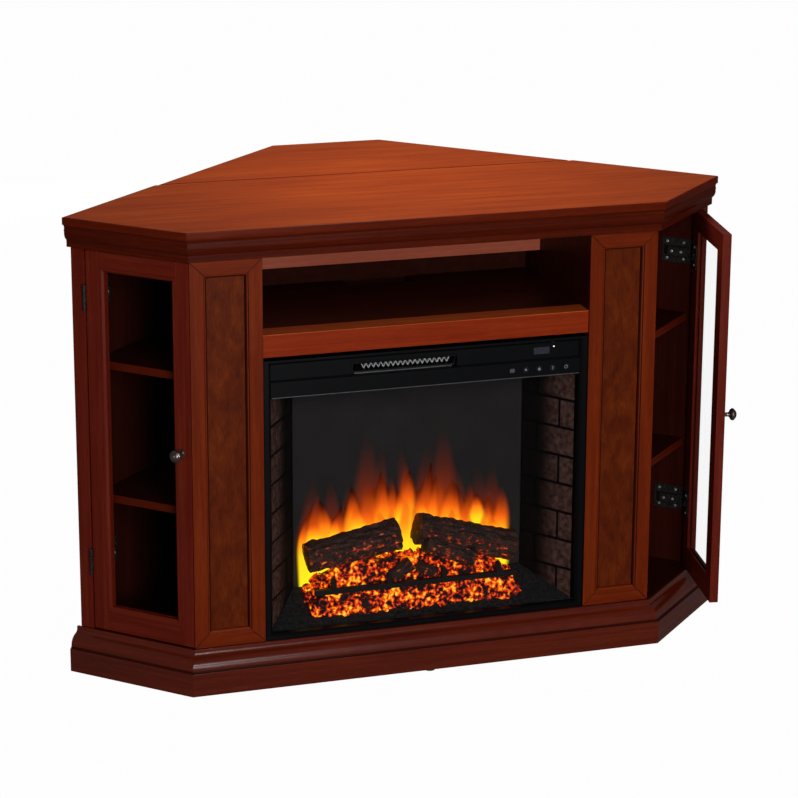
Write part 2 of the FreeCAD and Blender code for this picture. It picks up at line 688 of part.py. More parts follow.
def carcass():
    """Every fixed board of the cabinet, by node."""
    floor_plan = outline(-BODY_INSET, WALL_INSET, BACK_FRONT)
    back_half = side_point(POST_START + BOARD, side_depth_at(POST_START + BOARD, BACK_FRONT))[0]
    pins = shelf_pins()
    partition = box(OPENING_HALF, OPENING_HALF + BOARD, FRONT_BACK, BACK_FRONT, BASE_HEIGHT, TOP_UNDER)
    partition = cut(partition, *pins)
    wall = wall_strip(POST_START, POST_START + BOARD, FRONT_BOARD, BACK_FRONT, BASE_HEIGHT, TOP_UNDER)
    wall = cut(wall, *pins)
    post = on_side(box(POST_START, SIDE_LENGTH, 0, FRONT_BOARD, BASE_HEIGHT, CROWN_BOTTOM))
    back = box(-back_half, back_half, BACK_FRONT, BACK_FACE, FLOOR_UNDER, TOP_UNDER)
    window = box(-SERVICE_HALF, SERVICE_HALF, BACK_FRONT, BACK_FACE, FIRE_BOTTOM + SERVICE_RISE,
                 FIRE_TOP - SERVICE_DROP)
    shelf = box(-OPENING_HALF, OPENING_HALF, FRONT_BACK, BACK_FRONT, BAY_FLOOR - FRONT_BOARD, BAY_FLOOR)
    notch = box(-CABLE_NOTCH_WIDTH / 2, CABLE_NOTCH_WIDTH / 2, BACK_FRONT - CABLE_NOTCH_DEPTH, BACK_FRONT,
                BAY_FLOOR - FRONT_BOARD, BAY_FLOOR)
    rail = box(-OPENING_HALF, OPENING_HALF, CORNER_Y + SHELF_RAIL_SETBACK, FRONT_BACK,
               BAY_FLOOR - SHELF_RAIL_HEIGHT, BAY_FLOOR)
    bay_front = BACK_FRONT - CABLE_CHAMBER
    bay_back = box(-OPENING_HALF, OPENING_HALF, bay_front, bay_front + BAY_BACK_THICK, BAY_FLOOR + BAY_BACK_GAP,
                   TOP_UNDER)
    rail_front = BACK_FRONT - BOARD
    wall_rail = wall_strip(SIDE_LENGTH - BOARD, SIDE_LENGTH, PLINTH_IN, rail_front, GLIDE_HEIGHT, FLOOR_UNDER)
    rail_half = side_point(SIDE_LENGTH, side_depth_at(SIDE_LENGTH, BACK_FRONT))[0]
    rail_plan = [(-rail_half - BOARD, rail_front), (rail_half + BOARD, rail_front), (rail_half, BACK_FRONT),
                 (-rail_half, BACK_FRONT)]
    back_rail = prism(rail_plan, GLIDE_HEIGHT, FLOOR_UNDER)
    shelves = [prism(shelf_plan(), top - SHELF_THICK, top) for top in SHELF_HEIGHTS]
    return {
        "main_top": [main_top()],
        "crown_moulding": three_runs(crown_profile(), 2 * CROWN_BEAD_OUT, 0, CROWN_END_INSET),
        "top_frame": three_runs(frame_profile(), 0, FRONT_BOARD, WALL_INSET),
        "plinth_boards": three_runs(plinth_profile(), PLINTH_OUT, PLINTH_IN, 0),
        "base_rails": [back_rail] + both(wall_rail),
        "floor_glides": floor_glides(),
        "cabinet_floor": [prism(floor_plan, FLOOR_UNDER, BASE_HEIGHT)],
        "pilaster_frames": [twin for member in pilaster_frame() for twin in both(member)],
        "pilaster_panels": both(pilaster_panel()),
        "partitions": both(partition),
        "end_posts": both(post),
        "wall_panels": both(wall),
        "back_panel": [cut(back, window)],
        "media_shelf": [cut(shelf, notch)],
        "shelf_rail": [rail],
        "bay_back": [bay_back],
        "side_shelves": [twin for shelf in shelves for twin in both(shelf)],
        "shelf_pins": [twin for pin in pins for twin in both(pin)],
    }


def door_hinge_fixed(z):
    """Cabinet half of a door hinge in the side frame: knuckles, pin, plate in the door's gap and arm."""
    pin = Vector(DOOR_AXIS_S, DOOR_AXIS_D, z - HINGE_HALF)
    face = POST_START - HINGE_PLATE
    knuckle_length = HINGE_HALF - HINGE_MIDDLE_HALF
    pieces = [rod(pin, Z_AXIS, HINGE_PIN_RADIUS, 2 * HINGE_HALF)]
    for low in (z - HINGE_HALF, z + HINGE_MIDDLE_HALF):
        start = Vector(pin.x, pin.y, low)
        pieces.append(peg(start, Z_AXIS, HINGE_KNUCKLE_RADIUS, knuckle_length, SMALL_SIDES))
        pieces.append(box(face, POST_START, DOOR_AXIS_D, DOOR_FACE + HINGE_STRAP, low, low + knuckle_length))
    plate = box(face, POST_START, DOOR_FACE + HINGE_STRAP, HINGE_PLATE_DEPTH, z - HINGE_HALF, z + HINGE_HALF)
    arm_start = DOOR_BACK + HINGE_ARM_START
    arm_end = arm_start + HINGE_ARM_LENGTH
    arm_plan = [(face, arm_start), (face - HINGE_ARM_RISE, arm_start + HINGE_ARM_RISE / 2),
                (face - HINGE_ARM_RISE, arm_end - HINGE_ARM_RISE), (face, arm_end)]
    arm = prism(arm_plan, z - HINGE_ARM_HALF, z + HINGE_ARM_HALF)
    return fuse(plate, arm, *pieces)


def door_hinge_moving(z):
    """Door half of a hinge in the side frame: knuckle, strap round the door's edge, flange and cup."""
    face = DOOR_BACK
    half = HINGE_MIDDLE_HALF - HINGE_AXIAL_GAP
    axis = Vector(DOOR_AXIS_S, DOOR_AXIS_D, z - half)
    start = DOOR_HINGED - HINGE_FLANGE_START
    thick = HINGE_FLANGE_THICK
    flange = box(start - HINGE_FLANGE_WIDTH, start, face, face + thick, z - HINGE_HALF, z + HINGE_HALF)
    strap = box(start, DOOR_HINGED + thick, face, face + thick, z - half, z + half)
    edge = box(DOOR_HINGED, DOOR_HINGED + thick, DOOR_AXIS_D, face + thick, z - half, z + half)
    knuckle = peg(axis, Z_AXIS, HINGE_KNUCKLE_RADIUS, 2 * half, SMALL_SIDES)
    centre = Vector(DOOR_HINGED - CUP_FROM_EDGE, face - CUP_DEPTH, z)
    cup = peg(centre, Y_AXIS, CUP_RADIUS, CUP_DEPTH, CUP_SIDES)
    hollow = peg(centre + Vector(0, CUP_WALL, 0), Y_AXIS, CUP_RADIUS - CUP_WALL, CUP_DEPTH + thick, CUP_SIDES)
    bore = rod(axis, Z_AXIS, HINGE_PIN_RADIUS + HINGE_PIN_GAP, 2 * half)
    return cut(fuse(flange, strap, edge, knuckle, cup), hollow, bore)


def door_frame():
    """Stiles and rails of a door in the side frame, bevelled in front and rebated behind."""
    face, back = DOOR_FACE, DOOR_BACK
    free, hinged = DOOR_FREE + STILE_WIDTH, DOOR_HINGED - STILE_WIDTH
    low, high = DOOR_BOTTOM + BOTTOM_RAIL_HEIGHT, DOOR_TOP - TOP_RAIL_HEIGHT
    bevel = frustum(free, hinged, low, high, face, DOOR_BEVEL, DOOR_BEVEL)
    lap = GLASS_REBATE
    rebate = box(free - lap, hinged + lap, back - GLASS_THICK - BEAD_THICK, back, low - lap, high + lap)
    cups = [peg(Vector(DOOR_HINGED - CUP_FROM_EDGE, back - CUP_DEPTH - CUP_GAP, z), Y_AXIS,
                CUP_RADIUS + CUP_GAP, CUP_DEPTH + CUP_GAP, CUP_SIDES) for z in HINGE_HEIGHTS]
    members = [box(DOOR_FREE, free, face, back, DOOR_BOTTOM, DOOR_TOP),
               box(hinged, DOOR_HINGED, face, back, DOOR_BOTTOM, DOOR_TOP),
               box(free, hinged, face, back, DOOR_BOTTOM, low),
               box(free, hinged, face, back, high, DOOR_TOP)]
    return [cut(member, bevel, rebate, *cups) for member in members]


def door_glass():
    """The pane, loose by the edge gap in its rebate."""
    lap = GLASS_REBATE - GLASS_EDGE_GAP
    back = DOOR_BACK - BEAD_THICK
    return box(DOOR_FREE + STILE_WIDTH - lap, DOOR_HINGED - STILE_WIDTH + lap, back - GLASS_THICK, back,
               DOOR_BOTTOM + BOTTOM_RAIL_HEIGHT - lap, DOOR_TOP - TOP_RAIL_HEIGHT + lap)


def glass_beads():
    """Four mitred strips that hold the pane from behind."""
    back = DOOR_BACK
    left, right = DOOR_FREE + STILE_WIDTH, DOOR_HINGED - STILE_WIDTH
    low, high = DOOR_BOTTOM + BOTTOM_RAIL_HEIGHT, DOOR_TOP - TOP_RAIL_HEIGHT
    inner = [(left, low), (right, low), (right, high), (left, high)]
    lap = GLASS_REBATE
    outer = [(left - lap, low - lap), (right + lap, low - lap), (right + lap, high + lap)]
    outer.append((left - lap, high + lap))
    strips = []
    for here in range(len(inner)):
        after = (here + 1) % len(inner)
        strip = [outer[here], outer[after], inner[after], inner[here]]
        strips.append(front_prism(strip, back - BEAD_THICK, back))
    return strips


def door_knob():
    """Mushroom knob turned about its own axis, on the middle of the free stile."""
    neck = KNOB_PROJECTION - KNOB_HEAD_THICK
    rim = neck + KNOB_HEAD_THICK * KNOB_RIM
    profile = [(KNOB_ROSE_RADIUS, 0), (KNOB_ROSE_RADIUS, KNOB_ROSE_THICK), (KNOB_STEM_RADIUS, KNOB_ROSE_THICK),
               (KNOB_STEM_RADIUS, neck)]
    for step in range(KNOB_DOME_STEPS):
        angle = math.pi / 2 * step / KNOB_DOME_STEPS
        profile.append((KNOB_RADIUS * math.cos(angle), rim + (KNOB_PROJECTION - rim) * math.sin(angle)))
    rings = []
    for radius, out in profile:
        turns = [2 * math.pi * side / KNOB_SIDES for side in range(KNOB_SIDES)]
        rings.append([Vector(radius * math.cos(turn), -out, radius * math.sin(turn)) for turn in turns])
    knob = skinned(rings)
    knob.translate(Vector(DOOR_FREE + STILE_WIDTH / 2, DOOR_FACE, KNOB_HEIGHT))
    return knob


def doors():
    """Both doors by node: the left one shut, the right one ajar, and the hinges' fixed halves."""
    shut = {
        "door_frame": door_frame(),
        "door_glass": [door_glass()],
        "glass_beads": glass_beads(),
        "door_knob": [door_knob()],
        "hinge_cups": [door_hinge_moving(z) for z in HINGE_HEIGHTS],
    }
    axis = Vector(DOOR_AXIS_S, DOOR_AXIS_D, 0)
    nodes = {}
    for name, solids in shut.items():
        nodes["left_" + name] = [mirrored(on_side(solid)) for solid in solids]
        ajar = [solid.copy().rotate(axis, Z_AXIS, RIGHT_DOOR_OPEN) for solid in solids]
        nodes["right_" + name] = [on_side(solid) for solid in ajar]
    fixed = [on_side(door_hinge_fixed(z)) for z in HINGE_HEIGHTS]
    nodes["door_hinge_arms"] = [twin for hinge in fixed for twin in both(hinge)]
    return nodes


def leaf_hinge(x, moving):
    """One half of a leaf hinge under the seam."""
    y, z = LEAF_AXIS_Y, LEAF_AXIS_Z
    sign = 1 if moving else -1
    half, middle = LEAF_HINGE_HALF, LEAF_HINGE_MIDDLE_HALF
    clear = LEAF_KNUCKLE_RADIUS + LEAF_KNUCKLE_GAP
    ends = sorted((y + sign * clear, y + sign * (clear + LEAF_HINGE_REACH)))
    plate = box(x - half, x + half, ends[0], ends[1], TOP_UNDER - LEAF_HINGE_PLATE, TOP_UNDER)
    tongue = sorted((y, y + sign * clear))
    inner = middle - HINGE_AXIAL_GAP
    spans = [(-inner, inner)] if moving else [(-half, -middle), (middle, half)]
    pieces = []
    for start, end in spans:
        pieces.append(box(x + start, x + end, tongue[0], tongue[1], TOP_UNDER - LEAF_HINGE_PLATE, TOP_UNDER))
        pieces.append(peg(Vector(x + start, y, z), X_AXIS, LEAF_KNUCKLE_RADIUS, end - start, SMALL_SIDES))
    if moving:
        bore = rod(Vector(x - half, y, z), X_AXIS, LEAF_PIN_RADIUS + HINGE_PIN_GAP, 2 * half)
        return cut(fuse(plate, *pieces), bore)
    return fuse(plate, rod(Vector(x - half, y, z), X_AXIS, LEAF_PIN_RADIUS, 2 * half), *pieces)


def brace_ear(x):
    """Clevis under the leaf, with its pin, that carries a brace."""
    gap = BRACE_WIDTH / 2 + BRACE_SIDE_GAP
    wide = gap + EAR_CHEEK
    top = TOP_UNDER - LEAF_HINGE_PLATE
    low = BRACE_Z - BRACE_HALF_DEPTH
    base = box(x - 2 * wide, x + 2 * wide, BRACE_Y - EAR_LENGTH / 2, BRACE_Y + EAR_LENGTH / 2, top, TOP_UNDER)
    profile = [(BRACE_Y - EAR_LENGTH / 4, top), (BRACE_Y + EAR_LENGTH / 4, top),
               (BRACE_Y + BRACE_HALF_DEPTH, low), (BRACE_Y - BRACE_HALF_DEPTH, low)]
    cheeks = [end_prism(profile, x + side, x + side + EAR_CHEEK) for side in (gap, -wide)]
    pin = rod(Vector(x - wide, BRACE_Y, BRACE_Z), X_AXIS, BRACE_PIN_RADIUS, 2 * wide)
    return fuse(base, pin, *cheeks)


def leaf_brace(x):
    """Flat bar from the leaf's clevis down to its track on the back, round at both ends."""
    run = Vector(0, BRACE_TIP_Y - BRACE_Y, BRACE_TIP_Z - BRACE_Z)
    half = BRACE_HALF_DEPTH
    bar = box(-BRACE_WIDTH / 2, BRACE_WIDTH / 2, 0, run.Length, -half, half)
    eye = rod(Vector(-BRACE_WIDTH / 2, 0, 0), X_AXIS, half, BRACE_WIDTH)
    tip = rod(Vector(-BRACE_WIDTH / 2, run.Length, 0), X_AXIS, half, BRACE_WIDTH)
    bore = rod(Vector(-BRACE_WIDTH / 2, 0, 0), X_AXIS, BRACE_PIN_RADIUS + BRACE_PIN_GAP, BRACE_WIDTH)
    brace = cut(fuse(bar, eye, tip), bore)
    brace.rotate(Vector(0, 0, 0), X_AXIS, math.degrees(math.atan2(run.z, run.y)))
    brace.translate(Vector(x, BRACE_Y, BRACE_Z))
    return brace


def brace_track(x):
    """Channel on the back panel that takes the brace's tip."""
    half = TRACK_SLOT / 2
    low, high = BRACE_TIP_Z - TRACK_BELOW, BRACE_TIP_Z + TRACK_ABOVE
    front, base, lip = BACK_FACE, BACK_FACE + TRACK_BASE, BACK_FACE + TRACK_DEPTH
    wide = half + TRACK_FLANGE
    plan = [(-wide, front), (wide, front), (wide, lip), (half, lip), (half, base), (-half, base), (-half, lip),
            (-wide, lip)]
    return prism([(x + u, y) for u, y in plan], low, high)


def leaf():
    """The drop leaf, its hinges and its braces, by node."""
    return {
        "drop_leaf": [drop_leaf()],
        "leaf_hinge_plates": [leaf_hinge(x, False) for x in LEAF_HINGE_PLACES],
        "leaf_hinge_straps": [leaf_hinge(x, True) for x in LEAF_HINGE_PLACES],
        "brace_ears": [brace_ear(x) for x in BRACE_PLACES],
        "leaf_braces": [leaf_brace(x) for x in BRACE_PLACES],
        "brace_tracks": [brace_track(x) for x in BRACE_PLACES],
    }


def bezel():
    """Black frame round the firebox, bevelled in front and rebated for the glass."""
    ring = box(-FIRE_HALF, FIRE_HALF, FIRE_FRONT, FIRE_BACK_OF_BEZEL, FIRE_BOTTOM, FIRE_TOP)
    opening = box(-OPEN_HALF, OPEN_HALF, FIRE_FRONT, FIRE_BACK_OF_BEZEL, OPEN_BOTTOM, OPEN_TOP)
    bevel = frustum(-OPEN_HALF, OPEN_HALF, OPEN_BOTTOM, OPEN_TOP, FIRE_FRONT, BEZEL_BEVEL, BEZEL_BEVEL)
    lap = FIRE_GLASS_LAP
    rebate = box(-OPEN_HALF - lap, OPEN_HALF + lap, FIRE_BACK_OF_BEZEL - FIRE_GLASS_THICK, FIRE_BACK_OF_BEZEL,
                 OPEN_BOTTOM - lap, HEADER_BOTTOM)
    return cut(ring, opening, bevel, rebate)


def fire_glass():
    """Pane in front of the fire chamber."""
    lap = FIRE_GLASS_LAP
    return box(-OPEN_HALF - lap, OPEN_HALF + lap, FIRE_BACK_OF_BEZEL - FIRE_GLASS_THICK, FIRE_BACK_OF_BEZEL,
               OPEN_BOTTOM - lap, HEADER_BOTTOM)


def shell():
    """Sheet-metal box of the firebox, open at the front, with air slots and the cord's hole behind."""
    outer = box(-SHELL_HALF, SHELL_HALF, FIRE_BACK_OF_BEZEL, SHELL_BACK, FIRE_BOTTOM, SHELL_TOP + SHELL_WALL)
    inner = box(-SHELL_INNER_HALF, SHELL_INNER_HALF, FIRE_BACK_OF_BEZEL, SHELL_BACK - SHELL_WALL,
                SHELL_FLOOR, SHELL_TOP)
    hole = peg(inlet_place(), Y_AXIS, INLET_RADIUS, SHELL_WALL, ROUND_SIDES)
    slot_pitch = OUTLET_HEIGHT
    slots = [box(OUTLET_LEFT + n * slot_pitch, OUTLET_LEFT + (n + 0.5) * slot_pitch, SHELL_BACK - SHELL_WALL,
                 SHELL_BACK, DECK_TOP + OUTLET_HEIGHT, SHELL_TOP - OUTLET_HEIGHT / 2)
             for n in range(int((OUTLET_RIGHT - OUTLET_LEFT) / slot_pitch))]
    return cut(outer, inner, hole, *slots)


def inlet_place():
    """Centre of the cord's hole, on the inner face of the shell's back."""
    return Vector(SHELL_HALF - INLET_SIDE, SHELL_BACK - SHELL_WALL, FIRE_BOTTOM + INLET_Z)


def cord_inlet():
    """Strain-relief bush in the back of the firebox, wider outside than its hole."""
    start = inlet_place()
    outside = start + Vector(0, SHELL_WALL, 0)
    bush = peg(start, Y_AXIS, INLET_RADIUS, SHELL_WALL, ROUND_SIDES)
    collar = peg(outside, Y_AXIS, INLET_RADIUS + SHELL_WALL, INLET_LENGTH / 2, ROUND_SIDES)
    nose = peg(outside, Y_AXIS, INLET_RADIUS, INLET_LENGTH, ROUND_SIDES)
    return cut(fuse(bush, collar, nose), peg(start, Y_AXIS, INLET_BORE, 2 * INLET_LENGTH, ROUND_SIDES))


def key_places():
    """Centres of the control keys along the header."""
    return [KEY_FIRST_X + KEY_PITCH * number for number in range(KEY_COUNT)]


def board_span():
    """Left and right ends of the control board."""
    return KEY_FIRST_X - BOARD_MARGIN, key_places()[-1] + BOARD_MARGIN


def standoffs():
    """Places of the posts between the header and its board."""
    left, right = board_span()
    low, high = HEADER_BOTTOM + HEADER_FLANGE, OPEN_TOP - HEADER_FLANGE
    inset = STANDOFF_INSET
    return [(x, z) for x in (left + inset / 2, right - inset / 2) for z in (low + inset, high - inset)]


def header():
    """Moulded fascia above the glass, with the outlet, the display's window and the keys' holes."""
    low, high = HEADER_BOTTOM, OPEN_TOP
    proud = FIRE_FRONT + HEADER_FRONT
    band = proud + HEADER_STEP
    back = FIRE_BACK_OF_BEZEL
    step = low + HEADER_STEP_Z
    wall, rim = HEADER_INNER, HEADER_FLANGE
    section = [(back, low), (proud, low), (proud, step - HEADER_STEP), (band, step), (band, high), (back, high),
               (back, high - rim), (wall, high - rim), (wall, low + rim), (back, low + rim)]
    fascia = end_prism(section, -OPEN_HALF, OPEN_HALF)
    slot_low, slot_high = low + OUTLET_BOTTOM, low + OUTLET_BOTTOM + OUTLET_HEIGHT
    rim_front = band - OUTLET_RIM_PROUD
    rim_low = max(slot_low - OUTLET_RIM, step)
    outlet_rim = box(OUTLET_LEFT - OUTLET_RIM, OUTLET_RIGHT + OUTLET_RIM, rim_front, wall, rim_low,
                     slot_high + OUTLET_RIM)
    outlet = box(OUTLET_LEFT, OUTLET_RIGHT, proud, wall, slot_low, slot_high)
    window = box(DISPLAY_X, DISPLAY_X + DISPLAY_WIDTH, proud, wall, low + DISPLAY_BOTTOM,
                 low + DISPLAY_BOTTOM + DISPLAY_HEIGHT)
    holes = [peg(Vector(x, proud, low + KEY_Z), Y_AXIS, KEY_RADIUS + KEY_GAP, wall - proud, ROUND_SIDES)
             for x in key_places()]
    posts = [peg(Vector(x, wall, z), Y_AXIS, STANDOFF_RADIUS, BOARD_FRONT - wall, SMALL_SIDES)
             for x, z in standoffs()]
    return fuse(cut(fuse(fascia, outlet_rim), outlet, window, *holes), *posts)


def control_key(x):
    """One push key, flanged behind the header so that it can't fall out."""
    z = HEADER_BOTTOM + KEY_Z
    front = FIRE_FRONT + HEADER_FRONT - KEY_PROUD
    flange_at = HEADER_INNER + KEY_GAP
    stem = peg(Vector(x, front, z), Y_AXIS, KEY_RADIUS, flange_at - front, ROUND_SIDES)
    flange = peg(Vector(x, flange_at, z), Y_AXIS, KEY_FLANGE_RADIUS, KEY_FLANGE_THICK, ROUND_SIDES)
    return fuse(stem, flange)


def control_board():
    """Circuit board behind the header, with a switch under each key."""
    left, right = board_span()
    front = BOARD_FRONT
    sheet = box(left, right, front, front + BOARD_THICK, HEADER_BOTTOM + HEADER_FLANGE,
                OPEN_TOP - HEADER_FLANGE)
    z = HEADER_BOTTOM + KEY_Z
    half = SWITCH_SIZE / 2
    reach = HEADER_INNER + KEY_GAP + KEY_FLANGE_THICK + KEY_TRAVEL + KEY_TAIL
    switches = [box(x - half, x + half, reach, front, z - half, z + half) for x in key_places()]
    return fuse(sheet, *switches)


def display():
    """Numeric display in its window, seated on the board."""
    low = HEADER_BOTTOM + DISPLAY_BOTTOM
    return box(DISPLAY_X, DISPLAY_X + DISPLAY_WIDTH, FIRE_FRONT + HEADER_FRONT + HEADER_STEP, BOARD_FRONT,
               low, low + DISPLAY_HEIGHT)


def heater_core():
    """Corrugated fins between two bars, in cheeks that stand on the deck behind the outlet."""
    low = HEADER_BOTTOM + OUTLET_BOTTOM
    high = low + OUTLET_HEIGHT
    fin_low, fin_high = low + HEATER_BAR, high - HEATER_BAR
    pitch = (OUTLET_RIGHT - OUTLET_LEFT) / FIN_COUNT
    lower, upper = [], []
    for step in range(2 * FIN_COUNT + 1):
        x = OUTLET_LEFT + step * pitch / 2
        z = (fin_low if step % 2 == 0 else fin_high) - FIN_THICK / 2
        lower.append((x, z))
        upper.append((x, z + FIN_THICK))
    fins = front_prism(lower + upper[::-1], HEATER_FRONT, HEATER_BACK)
    bars = [box(OUTLET_LEFT, OUTLET_RIGHT, HEATER_FRONT, HEATER_BACK, *span)
            for span in ((low, fin_low), (fin_high, high))]
    cheeks = [box(x, x + HEATER_CHEEK, HEATER_FRONT, HEATER_BACK, DECK_TOP, high)
              for x in (OUTLET_LEFT - HEATER_CHEEK, OUTLET_RIGHT)]
    return fuse(fins, *bars, *cheeks)


def blower_span():
    """Left and right ends of the blower wheel."""
    return OUTLET_LEFT + WHEEL_END_GAP, OUTLET_RIGHT - WHEEL_END_GAP


def blower_housing():
    """Deck over the fire chamber, with the blower's scroll and its outer bearing."""
    deck = box(-SHELL_INNER_HALF, SHELL_INNER_HALF, FIRE_BACK_OF_BEZEL, SHELL_BACK - SHELL_WALL,
               DECK_UNDER, DECK_TOP)
    centre = Vector(OUTLET_LEFT, WHEEL_Y, WHEEL_Z)
    length = OUTLET_RIGHT - OUTLET_LEFT
    ring = cut(rod(centre, X_AXIS, SCROLL_RADIUS + SCROLL_WALL, length),
               rod(centre, X_AXIS, SCROLL_RADIUS, length))
    behind = box(OUTLET_LEFT, OUTLET_RIGHT, WHEEL_Y, SHELL_BACK, DECK_TOP, SHELL_TOP)
    crest = WHEEL_Z + SCROLL_RADIUS
    lip = box(OUTLET_LEFT, OUTLET_RIGHT, HEATER_BACK, WHEEL_Y, crest, crest + SCROLL_WALL)
    start = blower_span()[0] - WHEEL_END_GAP - BEARING_WIDTH
    stand = box(start, start + BEARING_WIDTH, WHEEL_Y - BEARING_HALF, WHEEL_Y + BEARING_HALF, DECK_TOP,
                WHEEL_Z + BEARING_HALF)
    bore = rod(Vector(start, WHEEL_Y, WHEEL_Z), X_AXIS, SHAFT_RADIUS + SHAFT_GAP, BEARING_WIDTH)
    return fuse(deck, ring.common(behind), lip, cut(stand, bore))


def blower_wheel():
    """Cross-flow wheel: raked blades between discs, on a shaft that runs into the motor."""
    left, right = blower_span()
    root = WHEEL_RADIUS - WHEEL_BLADE_DEPTH
    axis = Vector(left, WHEEL_Y, WHEEL_Z)
    blade = box(left, right, -WHEEL_BLADE_THICK / 2, WHEEL_BLADE_THICK / 2, 0, WHEEL_BLADE_DEPTH - 1)
    blade.rotate(Vector(0, 0, 0), X_AXIS, WHEEL_BLADE_RAKE)
    blade.translate(Vector(0, WHEEL_Y, WHEEL_Z + root))
    blades = []
    for number in range(WHEEL_BLADES):
        turned = blade.copy()
        blades.append(turned.rotate(axis, X_AXIS, 360 * number / WHEEL_BLADES))
    middle = (left + right - WHEEL_DISC) / 2
    discs = [peg(Vector(x, WHEEL_Y, WHEEL_Z), X_AXIS, WHEEL_RADIUS, WHEEL_DISC, 2 * WHEEL_BLADES)
             for x in (left, middle, right - WHEEL_DISC)]
    start = left - WHEEL_END_GAP - BEARING_WIDTH
    shaft = rod(Vector(start, WHEEL_Y, WHEEL_Z), X_AXIS, SHAFT_RADIUS, BLOWER_MOTOR_X + MOTOR_SOCKET - start)
    return fuse(shaft, *discs, *blades)


def motor(x, y, z, seat):
    """A round motor on a foot, with a socket for the shaft that it turns."""
    start = Vector(x, y, z)
    can = peg(start, X_AXIS, MOTOR_RADIUS, MOTOR_LENGTH, ROUND_SIDES)
    half = MOTOR_RADIUS / 2
    foot = box(x, x + MOTOR_LENGTH, y - half, y + half, seat, z)
    return cut(fuse(can, foot), rod(start, X_AXIS, SHAFT_RADIUS + SHAFT_GAP, MOTOR_SOCKET + 1))


def fire_tray():
    """Floor of the fire chamber, drawn in behind, with a bank of ash that rises to the screen."""
    front, back = FIRE_BACK_OF_BEZEL, SCREEN_BACK
    plan = [(-SHELL_INNER_HALF, front), (SHELL_INNER_HALF, front), (CHAMBER_BACK_HALF + BRICK_THICK, back),
            (-CHAMBER_BACK_HALF - BRICK_THICK, back)]
    slab = prism(plan, SHELL_FLOOR, TRAY_TOP)
    near, far = CHAMBER_FRONT_HALF - TRAY_WALL_GAP, CHAMBER_BACK_HALF - TRAY_WALL_GAP
    back = CHAMBER_BACK - LOG_SEAT_GAP
    low = [(-near, CHAMBER_FRONT), (near, CHAMBER_FRONT), (far, back), (-far, back)]
    bank = prism(low, TRAY_TOP, TRAY_TOP + TRAY_RISE)
    start, run = Vector(0, CHAMBER_FRONT, TRAY_TOP), Vector(0, CHAMBER_DEPTH, TRAY_RISE)
    above = box(-near, near, 0, run.Length, 0, TRAY_RISE)
    above.rotate(Vector(0, 0, 0), X_AXIS, math.degrees(math.atan2(run.z, run.y)))
    above.translate(start)
    return fuse(slab, cut(bank, above))


def brick_panel():
    """Right splayed wall of the chamber, with brick courses raked out between the joints."""
    run = Vector(CHAMBER_BACK_HALF - CHAMBER_FRONT_HALF, CHAMBER_DEPTH, 0)
    panel = box(0, run.Length, -BRICK_THICK, 0, TRAY_TOP, DECK_UNDER)
    pitch = (DECK_UNDER - TRAY_TOP) / BRICK_COURSES
    half = MORTAR_WIDTH / 2
    joints = []
    for course in range(BRICK_COURSES):
        low = TRAY_TOP + course * pitch
        across = BRICK_JOINTS[course % len(BRICK_JOINTS)] * run.Length
        joints.append(box(across - half, across + half, -MORTAR_DEPTH, 0, low, low + pitch))
        if course:
            joints.append(box(0, run.Length, -MORTAR_DEPTH, 0, low - half, low + half))
    panel = cut(panel, *joints)
    panel.rotate(Vector(0, 0, 0), Z_AXIS, math.degrees(math.atan2(run.y, run.x)))
    panel.translate(Vector(CHAMBER_FRONT_HALF, CHAMBER_FRONT, 0))
    return panel


def flame_screen():
    """Translucent screen that closes the back of the chamber."""
    half = CHAMBER_BACK_HALF - CHAMBER_GAP
    return box(-half, half, CHAMBER_BACK, SCREEN_BACK, TRAY_TOP, DECK_UNDER)


def bed_tier(left, right, front, z, top_left, top_right, top_front, top_z):
    """One sloping tier of the ember bed, with its back against the screen."""
    def ring(x0, x1, y0, height):
        back = CHAMBER_BACK - CHAMBER_GAP
        corners = ((x0, y0), (x1, y0), (x1, back), (x0, back))
        return [Vector(x, y, height) for x, y in corners]
    return skinned([ring(left, right, front, z), ring(top_left, top_right, top_front, top_z)])


def ember_bed():
    """Moulded coals: a low ledge in front and a heap behind it under the logs."""
    front = CHAMBER_FRONT + LEDGE_START
    narrow = LEDGE_HALF - LEDGE_DRAFT
    ledge = bed_tier(-LEDGE_HALF, LEDGE_HALF, front, TRAY_TOP, -narrow, narrow, front + LEDGE_DRAFT, LEDGE_TOP)
    half = LEDGE_HALF - HEAP_SIDE
    left, right = -HEAP_LEFT_SHARE * LEDGE_HALF, HEAP_RIGHT_SHARE * LEDGE_HALF
    heap = bed_tier(-half, half, HEAP_FRONT, LEDGE_TOP, left, right, HEAP_FRONT + HEAP_SLOPE,
                    LEDGE_TOP + HEAP_HEIGHT)
    return cut(fuse(ledge, heap), fire_tray())


def log(start, end, start_radius, end_radius, turn):
    """A rough log: a many-sided bar whose girth swells and shrinks along its length."""
    run = end - start
    rings = []
    for station in range(LOG_STATIONS):
        part = station / (LOG_STATIONS - 1)
        girth = start_radius + (end_radius - start_radius) * part
        corners = []
        for side in range(LOG_SIDES):
            angle = 2 * math.pi * side / LOG_SIDES
            swell = LOG_SWELL * math.sin(3 * angle + turn + station)
            rough = girth * (1 + swell - LOG_KNOT * math.cos(5 * angle + 2 * station))
            corners.append(Vector(rough * math.cos(angle), rough * math.sin(angle), run.Length * part))
        rings.append(corners)
    shape = skinned(rings)
    shape.Placement = Placement(start, Rotation(Z_AXIS, run))
    return shape


def settled(shape, supports):
    """Lowers a piece until it rests, but for the seat gap, on what lies under it."""
    for _ in range(SETTLE_STEPS):
        gap = min(shape.distToShape(support)[0] for support in supports)
        if gap < 2 * LOG_SEAT_GAP:
            break
        shape.translate(Vector(0, 0, LOG_SEAT_GAP - gap))
    return shape


